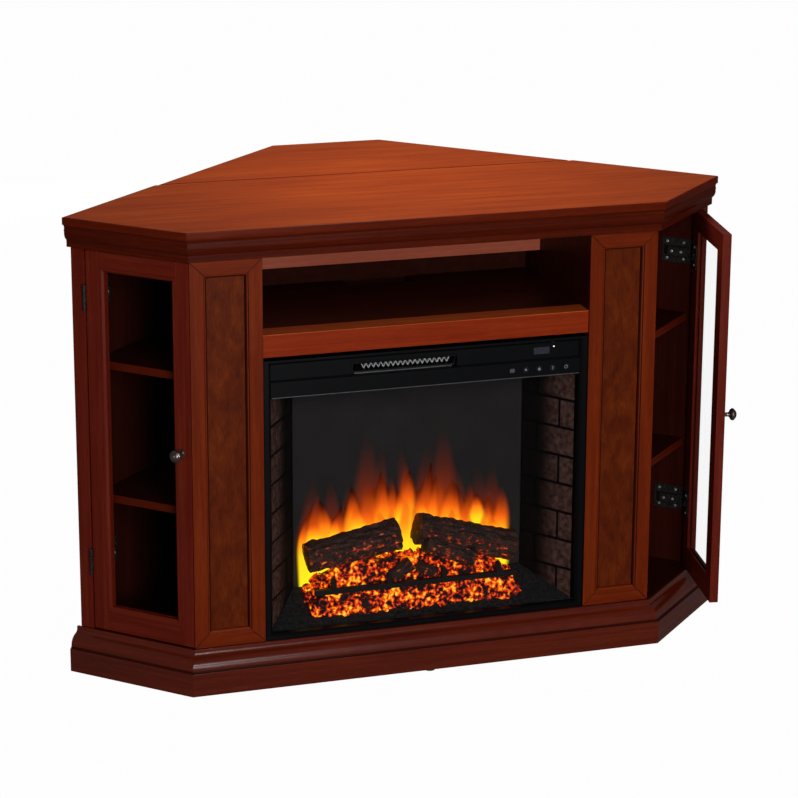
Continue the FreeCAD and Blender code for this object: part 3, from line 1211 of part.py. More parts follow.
def log_set(bed):
    """Two long logs that lean on the heap, a split one under them and two short billets in front."""
    logs = []
    for start, end, set_back, lift, rise, start_girth, end_girth, turn in LOGS:
        low = Vector(start * LEDGE_HALF, HEAP_FRONT + set_back, LEDGE_TOP + lift)
        high = Vector(end * LEDGE_HALF, HEAP_FRONT + set_back, LEDGE_TOP + lift + rise)
        logs.append(settled(log(low, high, start_girth, end_girth, turn), [bed] + logs))
    return logs


def fire_grate():
    """Black bar along the ledge of the ember bed, with four short uprights."""
    front = CHAMBER_FRONT + GRATE_START
    half = GRATE_BAR / 2
    pitch = GRATE_PITCH_SHARE * LEDGE_HALF
    first = -pitch * (GRATE_COUNT - 1) / 2
    low = LEDGE_TOP
    bar = box(first - GRATE_END, -first + GRATE_END, front, front + GRATE_BAR, low, low + GRATE_BAR)
    uprights = []
    for number in range(GRATE_COUNT):
        x = first + pitch * number
        uprights.append(box(x - half, x + half, front, front + GRATE_BAR, low, low + GRATE_HEIGHT))
        uprights.append(peg(Vector(x, front, low + GRATE_HEIGHT), Y_AXIS, half, GRATE_BAR, SMALL_SIDES))
    return fuse(bar, *uprights)


def fire_set():
    """Embers, logs and grate, by node, shifted together along the chamber."""
    bed = ember_bed()
    nodes = {"ember_bed": [bed], "log_set": log_set(bed), "fire_grate": [fire_grate()]}
    for solids in nodes.values():
        for solid in solids:
            solid.translate(Vector(FIRE_SET_SHIFT, 0, 0))
    return nodes


def flame_spindle():
    """Shaft with bright flags that throw the flame pattern on the screen."""
    start = Vector(-SPINDLE_HALF - BEARING_WIDTH, SPINDLE_Y, SPINDLE_Z)
    shaft = rod(start, X_AXIS, SHAFT_RADIUS, 2 * SPINDLE_HALF + BEARING_WIDTH + MOTOR_SOCKET)
    pitch = 2 * SPINDLE_HALF / FLAG_COUNT
    flags = []
    for number in range(FLAG_COUNT):
        middle = -SPINDLE_HALF + pitch * (number + 0.5)
        flag = box(middle - FLAG_WIDTH / 2, middle + FLAG_WIDTH / 2, SPINDLE_Y - FLAG_THICK / 2,
                   SPINDLE_Y + FLAG_THICK / 2, SPINDLE_Z, SPINDLE_Z + FLAG_LENGTH)
        flags.append(flag.rotate(start, X_AXIS, FLAG_TURN * number))
    return fuse(shaft, *flags)


def spindle_bracket():
    """Bearing stand for the free end of the flame spindle."""
    start = -SPINDLE_HALF - BEARING_WIDTH
    stand = box(start, start + BEARING_WIDTH, SPINDLE_Y - BEARING_HALF, SPINDLE_Y + BEARING_HALF, SHELL_FLOOR,
                SPINDLE_Z + BEARING_HALF)
    return cut(stand, rod(Vector(start, SPINDLE_Y, SPINDLE_Z), X_AXIS, SHAFT_RADIUS + SHAFT_GAP, BEARING_WIDTH))


def lamp_board():
    """Strip of lamps on the firebox floor behind the screen."""
    front = SCREEN_BACK + LAMP_BEHIND
    half = SPINDLE_HALF
    strip = box(-half, half, front, front + LAMP_DEPTH, SHELL_FLOOR, SHELL_FLOOR + BOARD_THICK)
    pitch = 2 * half / LAMP_COUNT
    middle = front + LAMP_DEPTH / 2
    lamps = []
    for number in range(LAMP_COUNT):
        x = -half + pitch * (number + 0.5)
        lamps.append(box(x - LAMP_SIZE / 2, x + LAMP_SIZE / 2, middle - LAMP_SIZE / 2, middle + LAMP_SIZE / 2,
                         SHELL_FLOOR + BOARD_THICK, SHELL_FLOOR + BOARD_THICK + LAMP_SIZE / 2))
    return fuse(strip, *lamps)


def firebox():
    """The electric firebox, by node."""
    nodes = {
        "firebox_shell": [shell()],
        "firebox_bezel": [bezel()],
        "firebox_glass": [fire_glass()],
        "cord_inlet": [cord_inlet()],
        "header_panel": [header()],
        "display_window": [display()],
        "control_board": [control_board()],
        "heater_core": [heater_core()],
        "blower_housing": [blower_housing()],
        "blower_wheel": [blower_wheel()],
        "blower_motor": [motor(BLOWER_MOTOR_X, WHEEL_Y, WHEEL_Z, DECK_TOP)],
        "fire_tray": [fire_tray()],
        "brick_panels": both(brick_panel()),
        "flame_screen": [flame_screen()],
        "flame_spindle": [flame_spindle()],
        "flame_drive": [motor(SPINDLE_HALF + 1, SPINDLE_Y, SPINDLE_Z, SHELL_FLOOR), spindle_bracket()],
        "lamp_board": [lamp_board()],
    }
    for number, x in enumerate(key_places(), start=1):
        nodes["control_key_%d" % number] = [control_key(x)]
    return nodes


def main():
    """Builds every node and writes it out."""
    os.makedirs("parts", exist_ok=True)
    nodes = {}
    for group in (carcass(), doors(), leaf(), firebox(), fire_set()):
        nodes.update(group)
    for name, solids in nodes.items():
        shape = solids[0] if len(solids) == 1 else Part.makeCompound(solids)
        shape.exportStep("parts/%s.step" % name)
        print(name, len(shape.Solids), "solids", "valid" if shape.isValid() else "NOT VALID")
    print(len(nodes), "nodes")


main()
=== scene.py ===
"""Corner fireplace media stand: boards, mouldings, glazed doors, rear leaf, electric fire and studio."""
from __future__ import annotations

import json
import logging
import math
import random
from dataclasses import dataclass, field
from enum import Enum
from typing import Callable, Optional, Sequence, Union

import bmesh
import bpy
from mathutils import Matrix, Vector, noise

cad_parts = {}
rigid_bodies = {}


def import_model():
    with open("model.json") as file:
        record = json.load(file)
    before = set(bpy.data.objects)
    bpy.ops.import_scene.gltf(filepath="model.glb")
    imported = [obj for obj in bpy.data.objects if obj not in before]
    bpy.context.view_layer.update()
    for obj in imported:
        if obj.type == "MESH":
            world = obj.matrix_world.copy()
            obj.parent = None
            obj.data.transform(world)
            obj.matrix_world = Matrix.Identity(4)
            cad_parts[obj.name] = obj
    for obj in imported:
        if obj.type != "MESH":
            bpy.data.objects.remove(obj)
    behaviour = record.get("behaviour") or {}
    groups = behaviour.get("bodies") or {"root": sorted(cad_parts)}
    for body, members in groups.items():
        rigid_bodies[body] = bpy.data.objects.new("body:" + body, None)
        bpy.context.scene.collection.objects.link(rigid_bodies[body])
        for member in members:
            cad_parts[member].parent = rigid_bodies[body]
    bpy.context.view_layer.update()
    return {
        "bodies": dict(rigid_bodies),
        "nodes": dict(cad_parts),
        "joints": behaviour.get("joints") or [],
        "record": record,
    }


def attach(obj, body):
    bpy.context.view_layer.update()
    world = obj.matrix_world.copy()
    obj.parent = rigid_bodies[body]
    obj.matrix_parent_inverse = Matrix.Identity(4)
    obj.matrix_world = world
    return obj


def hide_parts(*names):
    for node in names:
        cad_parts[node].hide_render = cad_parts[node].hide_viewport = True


LOG = logging.getLogger("stand")
MM = 0.001
GRAIN = "grain"
HALF_TURN = math.tan(math.radians(22.5))
DIAGONAL = math.sqrt(0.5)
IDENTITY = Matrix.Identity(4)
MIRROR = Matrix.Scale(-1, 4, Vector((1, 0, 0)))
FLAT_LIMIT = math.radians(28)
FACE_ON = 0.95
UPWARD = 0.3
FORWARD = Matrix.Rotation(math.radians(90), 4, "X")
POLE = 0.01
SMALL_SIDES = 20

Point = Sequence[float]
Value = Union[float, tuple, bpy.types.NodeSocket]


class Axis(Enum):
    """Way that the grain of a board runs, in the board's own frame."""

    ACROSS = (1.0, 0.0, 0.0)
    UP = (0.0, 0.0, 1.0)

    @property
    def vector(self) -> Vector:
        """The axis as a vector."""
        return Vector(self.value)


class Hand(Enum):
    """Side of the stand as seen from the front."""

    LEFT = "left"
    RIGHT = "right"

    @property
    def flip(self) -> Matrix:
        """Turns right-hand work into this hand's work."""
        return MIRROR if self is Hand.LEFT else IDENTITY


class Sign(Enum):
    """Generic signs printed on the keys."""

    HEAT = 1
    DIM = 2
    FLAME = 3
    TIMER = 4
    POWER = 5


def linear(code: str) -> tuple[float, float, float, float]:
    """Turns an sRGB hex code into a linear colour.

    Args:
        code: Colour as #rrggbb.

    Returns:
        Linear red, green and blue with full alpha.
    """
    shares = [int(code[i:i + 2], 16) / 255 for i in (1, 3, 5)]
    red, green, blue = [s / 12.92 if s <= 0.04045 else ((s + 0.055) / 1.055) ** 2.4 for s in shares]
    return red, green, blue, 1.0


def add(
    tree: bpy.types.NodeTree,
    kind: str,
    inputs: Optional[dict[Union[str, int], Value]] = None,
    stops: Sequence[tuple[float, str]] = (),
    **settings: object,
) -> bpy.types.Node:
    """Adds one node with its settings and fills or links its inputs.

    Args:
        tree: Node tree that takes the node.
        kind: Blender's name for the kind of node.
        inputs: Values, or sockets to link, by input name or number.
        stops: Places and hex colours of a colour ramp.
        **settings: Properties of the node itself.

    Returns:
        The new node.
    """
    node = tree.nodes.new(kind)
    for name, value in settings.items():
        setattr(node, name, value)
    for name, value in (inputs or {}).items():
        if isinstance(value, bpy.types.NodeSocket):
            tree.links.new(value, node.inputs[name])
        else:
            node.inputs[name].default_value = value
    if stops:
        marks = node.color_ramp.elements
        for place, _ in stops[2:]:
            marks.new(place)
        for mark, (place, code) in zip(marks, stops):
            mark.position, mark.color = place, linear(code)
    return node


@dataclass(frozen=True)
class Finish:
    """One real finish, made once as a procedural material."""

    name: str
    slot: str

    def material(self) -> bpy.types.Material:
        """Returns the finish's material, and makes it at its first use.

        Returns:
            The material.
        """
        made = bpy.data.materials.get(self.name)
        if made is None:
            made = bpy.data.materials.new(self.name)
            made.use_nodes = True
            made.node_tree.nodes.clear()
            shader = self.shade(made.node_tree)
            add(made.node_tree, "ShaderNodeOutputMaterial", {"Surface": shader.outputs[0]})
        return made

    def shade(self, tree: bpy.types.NodeTree) -> bpy.types.Node:
        """Adds the finish's nodes and returns its shader."""
        raise NotImplementedError

    def speckle(self, tree: bpy.types.NodeTree, size_mm: float, detail: float = 3.0) -> bpy.types.NodeSocket:
        """Adds an even noise with specks of a real size and returns its value.

        Args:
            tree: Node tree that takes the nodes.
            size_mm: Size of the specks.
            detail: Finer layers of the noise.

        Returns:
            Socket with the noise's value.
        """
        where = add(tree, "ShaderNodeTexCoord").outputs["Object"]
        inputs = {"Vector": where, "Scale": 1 / (size_mm * MM), "Detail": detail}
        return add(tree, "ShaderNodeTexNoise", inputs).outputs["Fac"]


@dataclass(frozen=True)
class Lacquer(Finish):
    """Stained wood under satin lacquer: streaks and fibres along the grain, soft broad reflections.

    The fibres are drawn wider than real pores, so that they show.
    """

    slot: str = field(default="cherry_wood", init=False)
    dark: str
    middle: str
    light: str
    streak_mm: tuple[float, float] = (300.0, 9.0)
    fibre_mm: tuple[float, float] = (24.0, 1.6)
    cloud_mm: tuple[float, float] = (240.0, 70.0)
    roughness: tuple[float, float] = (0.30, 0.42)
    gloss: float = 0.14
    coat: float = 0.02

    def run(self, tree: bpy.types.NodeTree, size: tuple[float, float], detail: float) -> bpy.types.NodeSocket:
        """Adds a noise drawn out along the grain and returns its value.

        Args:
            tree: Node tree that takes the nodes.
            size: Length and width of a streak in millimetres.
            detail: Finer layers of the noise.

        Returns:
            Socket with the noise's value.
        """
        where = add(tree, "ShaderNodeUVMap", uv_map=GRAIN).outputs["UV"]
        scale = (1 / (size[0] * MM), 1 / (size[1] * MM), 1.0)
        place = add(tree, "ShaderNodeMapping", {"Vector": where, "Scale": scale})
        inputs = {"Vector": place.outputs[0], "Scale": 1.0, "Detail": detail, "Distortion": 0.35}
        return add(tree, "ShaderNodeTexNoise", inputs, noise_dimensions="2D").outputs["Fac"]

    def shade(self, tree: bpy.types.NodeTree) -> bpy.types.Node:
        """Blends three runs of grain into colour, sheen and pores.

        Args:
            tree: Node tree that takes the nodes.

        Returns:
            The finish's shader node.
        """
        streak, fibre = self.run(tree, self.streak_mm, 3.0), self.run(tree, self.fibre_mm, 2.0)
        cloud = self.run(tree, self.cloud_mm, 1.0)
        both = add(tree, "ShaderNodeMix", {0: 0.3, 2: streak, 3: cloud})
        grain = add(tree, "ShaderNodeMix", {0: 0.28, 2: both.outputs[0], 3: fibre})
        stops = [(0.24, self.dark), (0.5, self.middle), (0.76, self.light)]
        colour = add(tree, "ShaderNodeValToRGB", {"Fac": grain.outputs[0]}, stops)
        low, high = self.roughness
        sheen = add(tree, "ShaderNodeMapRange", {"Value": fibre, "To Min": low, "To Max": high})
        pores = add(tree, "ShaderNodeBump", {"Height": fibre, "Strength": 0.06, "Distance": 0.0004})
        inputs = {"Base Color": colour.outputs[0], "Roughness": sheen.outputs[0], "Normal": pores.outputs[0],
                  "Specular IOR Level": self.gloss, "Coat Weight": self.coat, "Coat Roughness": 0.16}
        return add(tree, "ShaderNodeBsdfPrincipled", inputs)


@dataclass(frozen=True)
class Mottled(Finish):
    """An even finish whose tone, sheen and surface vary with specks of a real size.

    The specks are drawn coarser than a fine grain or plating, so that they show.
    """

    tone: str
    fleck: str
    speck_mm: float
    roughness: tuple[float, float]
    relief_mm: float = 0.05
    metal: float = 0.0
    gloss: float = 0.5
    edge_mm: float = 0.6

    def shade(self, tree: bpy.types.NodeTree) -> bpy.types.Node:
        """Mixes the two tones by the specks, with eased arrises.

        Args:
            tree: Node tree that takes the nodes.

        Returns:
            The finish's shader node.
        """
        speck = self.speckle(tree, self.speck_mm)
        colour = add(tree, "ShaderNodeValToRGB", {"Fac": speck}, [(0.35, self.tone), (0.7, self.fleck)])
        low, high = self.roughness
        sheen = add(tree, "ShaderNodeMapRange", {"Value": speck, "To Min": low, "To Max": high})
        edge = add(tree, "ShaderNodeBevel", {"Radius": self.edge_mm * MM}, samples=4)
        relief = {"Height": speck, "Strength": 0.3, "Distance": self.relief_mm * MM,
                  "Normal": edge.outputs[0]}
        bump = add(tree, "ShaderNodeBump", relief)
        inputs = {"Base Color": colour.outputs[0], "Roughness": sheen.outputs[0], "Metallic": self.metal,
                  "Specular IOR Level": self.gloss, "Normal": bump.outputs[0]}
        return add(tree, "ShaderNodeBsdfPrincipled", inputs)


@dataclass(frozen=True)
class DepthShaded(Finish):
    """Rough fired clay with painted shade: its own tones by the glass, darkening to black towards the screen.
    """

    tone: str
    fleck: str
    speck_mm: float
    relief_mm: float
    shade_start_mm: float = 58.0
    shade_full_mm: float = 104.0

    def shade(self, tree: bpy.types.NodeTree) -> bpy.types.Node:
        """Mixes two clay tones and darkens them with depth as painted shade.

        Args:
            tree: Node tree that takes the nodes.

        Returns:
            The finish's shader node.
        """
        speck = self.speckle(tree, self.speck_mm, 5.0)
        clay = add(tree, "ShaderNodeValToRGB", {"Fac": speck}, [(0.35, self.tone), (0.68, self.fleck)])
        place = add(tree, "ShaderNodeTexCoord").outputs["Object"]
        deep = add(tree, "ShaderNodeSeparateXYZ", {0: place}).outputs["Y"]
        reach = {"Value": deep, "From Min": self.shade_start_mm * MM, "From Max": self.shade_full_mm * MM,
                 "To Max": 0.96}
        # Painted shade: the clay goes to near black from the glass back towards the screen.
        depth_shade = add(tree, "ShaderNodeMapRange", reach, interpolation_type="SMOOTHSTEP")
        colour = add(tree, "ShaderNodeMix", {0: depth_shade.outputs[0], 6: clay.outputs[0], 7: linear("#020202")},
                     data_type="RGBA")
        relief = {"Height": speck, "Strength": 0.6, "Distance": self.relief_mm * MM}
        bump = add(tree, "ShaderNodeBump", relief)
        inputs = {"Base Color": colour.outputs[2], "Roughness": 0.9, "Specular IOR Level": 0.1,
                  "Normal": bump.outputs[0]}
        return add(tree, "ShaderNodeBsdfPrincipled", inputs)


@dataclass(frozen=True)
class Pane(Finish):
    """Clear float glass: what is behind it stays plain, and its face takes a faint sheen at a slant."""

    tint: str
    veil: tuple[float, float] = (0.03, 0.4)
    smear_mm: float = 90.0

    def shade(self, tree: bpy.types.NodeTree) -> bpy.types.Node:
        """Covers more of what lies behind at a slant, with hardly visible smears.

        Args:
            tree: Node tree that takes the nodes.

        Returns:
            The finish's shader node.
        """
        smear = self.speckle(tree, self.smear_mm, 1.0)
        sheen = add(tree, "ShaderNodeMapRange", {"Value": smear, "To Min": 0.02, "To Max": 0.06})
        slant = add(tree, "ShaderNodeFresnel", {"IOR": 1.45})
        low, high = self.veil
        cover = add(tree, "ShaderNodeMapRange", {"Value": slant.outputs[0], "To Min": low, "To Max": high})
        inputs = {"Base Color": linear(self.tint), "Roughness": sheen.outputs[0], "Alpha": cover.outputs[0]}
        return add(tree, "ShaderNodeBsdfPrincipled", inputs)


@dataclass(frozen=True)
class Ember(Finish):
    """Crusted coals lit from inside: yellow hearts, orange and red seams, black crust."""

    crust: str
    ash: str
    patch_mm: float
    seam_mm: float
    strength: float

    def shade(self, tree: bpy.types.NodeTree) -> bpy.types.Node:
        """Lets the glow through where coarse and fine noise are both high.

        Args:
            tree: Node tree that takes the nodes.

        Returns:
            The finish's shader node.
        """
        patch, seam = self.speckle(tree, self.patch_mm, 2.0), self.speckle(tree, self.seam_mm, 4.0)
        heat = add(tree, "ShaderNodeMix", {0: 0.55, 2: patch, 3: seam})
        stops = [(0.43, "#000000"), (0.48, "#3d0500"), (0.52, "#c42200"), (0.565, "#ff5a08"),
                 (0.62, "#ffb81c"), (0.70, "#ffe850")]
        glow = add(tree, "ShaderNodeValToRGB", {"Fac": heat.outputs[0]}, stops)
        crust = add(tree, "ShaderNodeValToRGB", {"Fac": seam}, [(0.3, self.crust), (0.75, self.ash)])
        bump = add(tree, "ShaderNodeBump", {"Height": seam, "Strength": 0.7, "Distance": 0.002})
        inputs = {"Base Color": crust.outputs[0], "Roughness": 0.85, "Emission Color": glow.outputs[0],
                  "Emission Strength": self.strength, "Normal": bump.outputs[0]}
        return add(tree, "ShaderNodeBsdfPrincipled", inputs)


@dataclass(frozen=True)
class Bark(Finish):
    """Charred bark with ridges along the log, and red seams glowing on the side that faces the bed: painted
    light from the bed.
    """

    char: str
    brown: str
    ridge_mm: tuple[float, float] = (60.0, 7.0)

    def shade(self, tree: bpy.types.NodeTree) -> bpy.types.Node:
        """Draws ridges along the log and paints the bed's light into the seams on its lower side.

        Args:
            tree: Node tree that takes the nodes.

        Returns:
            The finish's shader node.
        """
        where = add(tree, "ShaderNodeUVMap", uv_map=GRAIN).outputs["UV"]
        scale = (1 / (self.ridge_mm[0] * MM), 1 / (self.ridge_mm[1] * MM), 1.0)
        place = add(tree, "ShaderNodeMapping", {"Vector": where, "Scale": scale}).outputs[0]
        inputs = {"Vector": place, "Scale": 1.0, "Detail": 5.0, "Distortion": 0.6}
        ridge = add(tree, "ShaderNodeTexNoise", inputs, noise_dimensions="2D").outputs["Fac"]
        colour = add(tree, "ShaderNodeValToRGB", {"Fac": ridge}, [(0.35, self.char), (0.68, self.brown)])
        facing = add(tree, "ShaderNodeSeparateXYZ", {0: add(tree, "ShaderNodeNewGeometry").outputs["Normal"]})
        under = {"Value": facing.outputs["Z"], "From Min": 0.55, "From Max": -0.8, "To Min": 0.0,
                 "To Max": 1.0}
        low = add(tree, "ShaderNodeMapRange", under)
        seam = add(tree, "ShaderNodeValToRGB", {"Fac": self.speckle(tree, 9.0, 4.0)},
                   [(0.52, "#000000"), (0.60, "#8a1400"), (0.68, "#ff6a1c"), (0.76, "#ffb878")])
        # Painted light: the seams glow only on faces turned down towards the glowing bed.
        glow = add(tree, "ShaderNodeMix", {0: low.outputs[0], 6: linear("#000000"), 7: seam.outputs[0]},
                   data_type="RGBA")
        bump = add(tree, "ShaderNodeBump", {"Height": ridge, "Strength": 0.8, "Distance": 0.0025})
        inputs = {"Base Color": colour.outputs[0], "Roughness": 0.8, "Emission Color": glow.outputs[2],
                  "Emission Strength": 1.0, "Normal": bump.outputs[0]}
        return add(tree, "ShaderNodeBsdfPrincipled", inputs)


@dataclass(frozen=True)
class Flame(Finish):
    """Light thrown on the screen: yellow at the foot, orange, then dark red tips that fade out."""

    strength: float

    def shade(self, tree: bpy.types.NodeTree) -> bpy.types.Node:
        """Colours a tongue by its height and fades its edges and tip.

        Args:
            tree: Node tree that takes the nodes.

        Returns:
            The finish's shader node.
        """
        where = add(tree, "ShaderNodeUVMap", uv_map=GRAIN).outputs["UV"]
        across, up = add(tree, "ShaderNodeSeparateXYZ", {0: where}).outputs[:2]
        stops = [(0.0, "#ffe61e"), (0.42, "#ffd41c"), (0.58, "#ff9f18"), (0.74, "#f0600f"), (0.88, "#a8360f"),
                 (1.0, "#52200f")]
        colour = add(tree, "ShaderNodeValToRGB", {"Fac": up}, stops)
        away = add(tree, "ShaderNodeMath", {0: across, 1: 0.5}, operation="SUBTRACT")
        side = add(tree, "ShaderNodeMath", {0: away.outputs[0]}, operation="ABSOLUTE")
        edge = {"Value": side.outputs[0], "From Min": 0.5, "From Max": 0.15, "To Min": 0.0, "To Max": 1.0}
        soft = add(tree, "ShaderNodeMapRange", edge, interpolation_type="SMOOTHSTEP")
        tip = {"Value": up, "From Min": 1.0, "From Max": 0.62, "To Min": 0.0, "To Max": 1.0}
        fade = add(tree, "ShaderNodeMapRange", tip, interpolation_type="SMOOTHSTEP")
        cover = add(tree, "ShaderNodeMath", {0: soft.outputs[0], 1: fade.outputs[0]}, operation="MULTIPLY")
        inputs = {"Base Color": linear("#000000"), "Roughness": 1.0, "Specular IOR Level": 0.0,
                  "Emission Color": colour.outputs[0], "Emission Strength": self.strength,
                  "Alpha": cover.outputs[0]}
        return add(tree, "ShaderNodeBsdfPrincipled", inputs)


@dataclass(frozen=True)
class Lit(Finish):
    """A small glowing face: an indicator lamp, or a printed sign with a faint painted glow that keeps it
    readable in the dark.
    """

    tone: str
    strength: float

    def shade(self, tree: bpy.types.NodeTree) -> bpy.types.Node:
        """Gives a faintly uneven glow.

        Args:
            tree: Node tree that takes the nodes.

        Returns:
            The finish's shader node.
        """
        speck = self.speckle(tree, 1.5)
        colour = add(tree, "ShaderNodeValToRGB", {"Fac": speck}, [(0.0, "#777777"), (0.5, self.tone)])
        inputs = {"Base Color": colour.outputs[0], "Roughness": 0.45, "Emission Color": colour.outputs[0],
                  "Emission Strength": self.strength}
        return add(tree, "ShaderNodeBsdfPrincipled", inputs)


# Cherry veneer, stained and lacquered to a satin: warm red-brown streaks with little shine.
CHERRY = Lacquer("satin_cherry_lacquer", "#611d08", "#7a290b", "#8f3911", gloss=0.07, coat=0.01)
# The same veneer on the top and leaf in a paler copy: painted light from above, golden brown.
TOP_CHERRY = Lacquer("cherry_top_painted_light", "#822b08", "#9f3c0d", "#b84f13", gloss=0.05, coat=0.0)
# Edges of the top, leaf and side shelves in a darker copy of the veneer: painted shade, deep red-brown.
DEEP_CHERRY = Lacquer("deep_cherry_moulding", "#4b1306", "#641c08", "#7a2a0e", gloss=0.06)
# Moulded crown in a darker copy of the veneer: painted shade under the top's overhang, darker than the edge
# above it.
CROWN_CHERRY = Lacquer("cherry_crown_painted_shade", "#3f0f04", "#551706", "#68220a", gloss=0.06)
# Moulded plinth rubbed to a shine: long pale highlights along its rounds.
PLINTH_CHERRY = Lacquer("shiny_cherry_plinth", "#4b1306", "#641c08", "#7a2a0e", roughness=(0.17, 0.25),
                        gloss=0.5, coat=0.12)
# Stretcher of the bay in a paler copy of the veneer: painted light with a painted pinkish reflection, pale
# pinkish brown.
BAY_CHERRY = Lacquer("bay_cherry_painted_light", "#bb5c44", "#cb6b52", "#d97d62", gloss=0.02, coat=0.0)
# Shelf rail in a lighter copy of the veneer: clear red-orange.
RAIL_CHERRY = Lacquer("bright_cherry_rail", "#80220c", "#97300f", "#ab4016", gloss=0.08)
# Upper face of the rail in a lighter copy of the veneer: painted light from above, a light orange line.
LEDGE_CHERRY = Lacquer("cherry_ledge_painted_light", "#bc4a1a", "#d05c26", "#e06f34", gloss=0.1)
# Inside faces in a dark copy of the veneer: painted shade where little light reaches, dull dark brown.
SHADE_CHERRY = Lacquer("cherry_inside_painted_shade", "#270a06", "#35100a", "#43180d", gloss=0.06, coat=0.0)
# Quirks, mitres and recess walls in painted shade: thin lines of near-black brown.
RECESS_SHADE_CHERRY = Lacquer("cherry_recess_painted_shade", "#2c0b05", "#391008", "#47180c", gloss=0.06, coat=0.0)
# Figured veneer of the recessed panels: soft brown mottles with no straight grain.
BURL_CHERRY = Lacquer("mottled_cherry_panel", "#4a190a", "#66250b", "#80360f", (34.0, 16.0), (14.0, 3.0),
                      (120.0, 60.0), gloss=0.07, coat=0.01)
# Doors and end posts under a redder stain: crimson brown.
DOOR_CHERRY = Lacquer("crimson_cherry_door", "#5a160b", "#702012", "#82301b", gloss=0.12, coat=0.01)
# Pressed hardboard with a printed face: flat dark brown, darkened as painted shade where the back is seen
# inside.
HARDBOARD = Mottled("printed_hardboard", "back_board", "#32110a", "#3b170e", 14.0, (0.7, 0.8), gloss=0.05)
# Moulded polypropylene: matt grey.
GLIDE = Mottled("grey_glide_plastic", "glide_plastic", "#2b2a29", "#353433", 4.0, (0.5, 0.6))
# Zinc-plated steel: bright, faintly blotched metal.
PIN_STEEL = Mottled("zinc_plated_pins", "bright_steel", "#b9bcc0", "#d2d4d6", 3.0, (0.25, 0.4), 0.02, 1.0)
# Float glass: clear and hardly seen.
DOOR_GLASS = Pane("clear_door_glass", "clear_glass", "#0a0c0b", (0.02, 0.05))
# Cast zinc plated in bronze: dark warm metal with one soft highlight.
KNOB = Mottled("dark_bronze_knob", "knob_bronze", "#695a56", "#8b7b76", 6.0, (0.22, 0.36), 0.03, 0.9)
# Pressed steel in black nickel: dark grey with small glints.
HINGE = Mottled("dark_nickel_hinge_steel", "hinge_steel", "#2c2a29", "#3b3836", 5.0, (0.2, 0.34), 0.02, 0.4)
# Nickel-plated steel as a pale, mostly matt grey: small bright dots, partly a painted reflection of the
# nickel.
SCREW = Mottled("bright_nickel_screws", "bright_steel", "#9a9792", "#b8b5b0", 3.0, (0.2, 0.3), 0.02, 0.3)
# Sheet steel in black powder coat: dull black.
BLACK_METAL = Mottled("black_sheet_metal", "black_metal", "#070708", "#0d0d0f", 3.0, (0.42, 0.55), 0.05, 0.2)
# Moulded ABS with a satin grain: black with faint soft reflections.
BLACK_PLASTIC = Mottled("satin_black_plastic", "black_plastic", "#07080a", "#0c0d10", 1.6, (0.3, 0.42), 0.06,
                        gloss=0.12)
# Tempered glass: clear, with a faint sheen at a slant.
FIRE_GLASS = Pane("clear_fire_glass", "fire_glass", "#0c0d0e", (0.05, 0.4))
# Moulded rubber: matt black, also used for the discs of painted shade in the shelf-pin holes.
RUBBER = Mottled("black_rubber", "black_rubber", "#141414", "#1e1e1e", 2.0, (0.7, 0.85))
# Smoked acrylic: smooth dark grey with a violet cast.
DISPLAY = Mottled("smoked_display_face", "display_face", "#302e39", "#3a3743", 5.0, (0.18, 0.25), 0.01)
# Glass-fibre board under green resist: dull green.
CIRCUIT = Mottled("green_circuit_board", "board_green", "#14482c", "#1d6038", 6.0, (0.4, 0.5))
# Folded aluminium drawn as near-white and not metal: a painted highlight, a bright zigzag in the dark outlet.
FINS = Mottled("fin_aluminium_painted_highlight", "fin_aluminium", "#bfc0c2", "#dcdcdc", 2.5, (0.3, 0.45), 0.02, 0.0,
               edge_mm=0.1)
# Galvanised sheet: grey metal with broad spangles.
PLAIN_STEEL = Mottled("galvanised_steel", "plain_steel", "#8f9295", "#a9acae", 12.0, (0.35, 0.5), 0.03, 1.0)
# Rolled aluminium: dull pale metal.
WHEEL = Mottled("dull_wheel_aluminium", "wheel_aluminium", "#a4a7aa", "#b9bbbd", 4.0, (0.35, 0.5), 0.03, 1.0)
# Zinc-plated cans: grey metal.
MOTOR = Mottled("zinc_motor_can", "motor_steel", "#85888c", "#9ea1a4", 8.0, (0.3, 0.45), 0.03, 1.0)
# Moulded resin strewn with grit: dark grey and grainy.
ASH = Mottled("dark_ash_floor", "ash_resin", "#1a1a1b", "#343436", 5.0, (0.85, 0.95), 1.2, gloss=0.1)
# Cast resin bricks: rough brown faces, with painted shade that turns them black with depth.
BRICK = DepthShaded("fired_brick_face", "brick_resin", "#3c2723", "#6d5049", 9.0, 1.6)
# Cast resin joints: black lines between the bricks.
MORTAR = DepthShaded("black_mortar", "brick_resin", "#040303", "#0b0807", 4.0, 0.6)
# Smoked acrylic: even dark grey.
SCREEN = Mottled("smoked_screen_acrylic", "screen_acrylic", "#2b2828", "#312e2e", 60.0, (0.6, 0.7), 0.0,
                 gloss=0.1)
# Clear resin coals lit from below: orange seams in a black crust.
COALS = Ember("glowing_coals", "ember_resin", "#0b0706", "#2a1712", 28.0, 7.0, 1.1)
# Cast and painted resin: charred ridges, with red seams glowing underneath as painted light from the bed.
BARK = Bark("charred_bark", "log_resin", "#110907", "#4f2f22")
# Cast iron: rough black.
IRON = Mottled("black_grate_iron", "grate_iron", "#0a0909", "#1a1615", 3.0, (0.5, 0.7), 0.4, 0.4)
# Grey strip along the header's lower edge: a painted highlight, a thin grey line.
LIP = Mottled("grey_lip_painted_highlight", "black_plastic", "#4a4c52", "#63656b", 3.0, (0.3, 0.4), 0.02, 0.0)
# Moulded key caps: black and faintly glossy.
KEY = Mottled("black_key_plastic", "key_plastic", "#0d0e11", "#15161a", 1.5, (0.35, 0.5), 0.04, gloss=0.25)
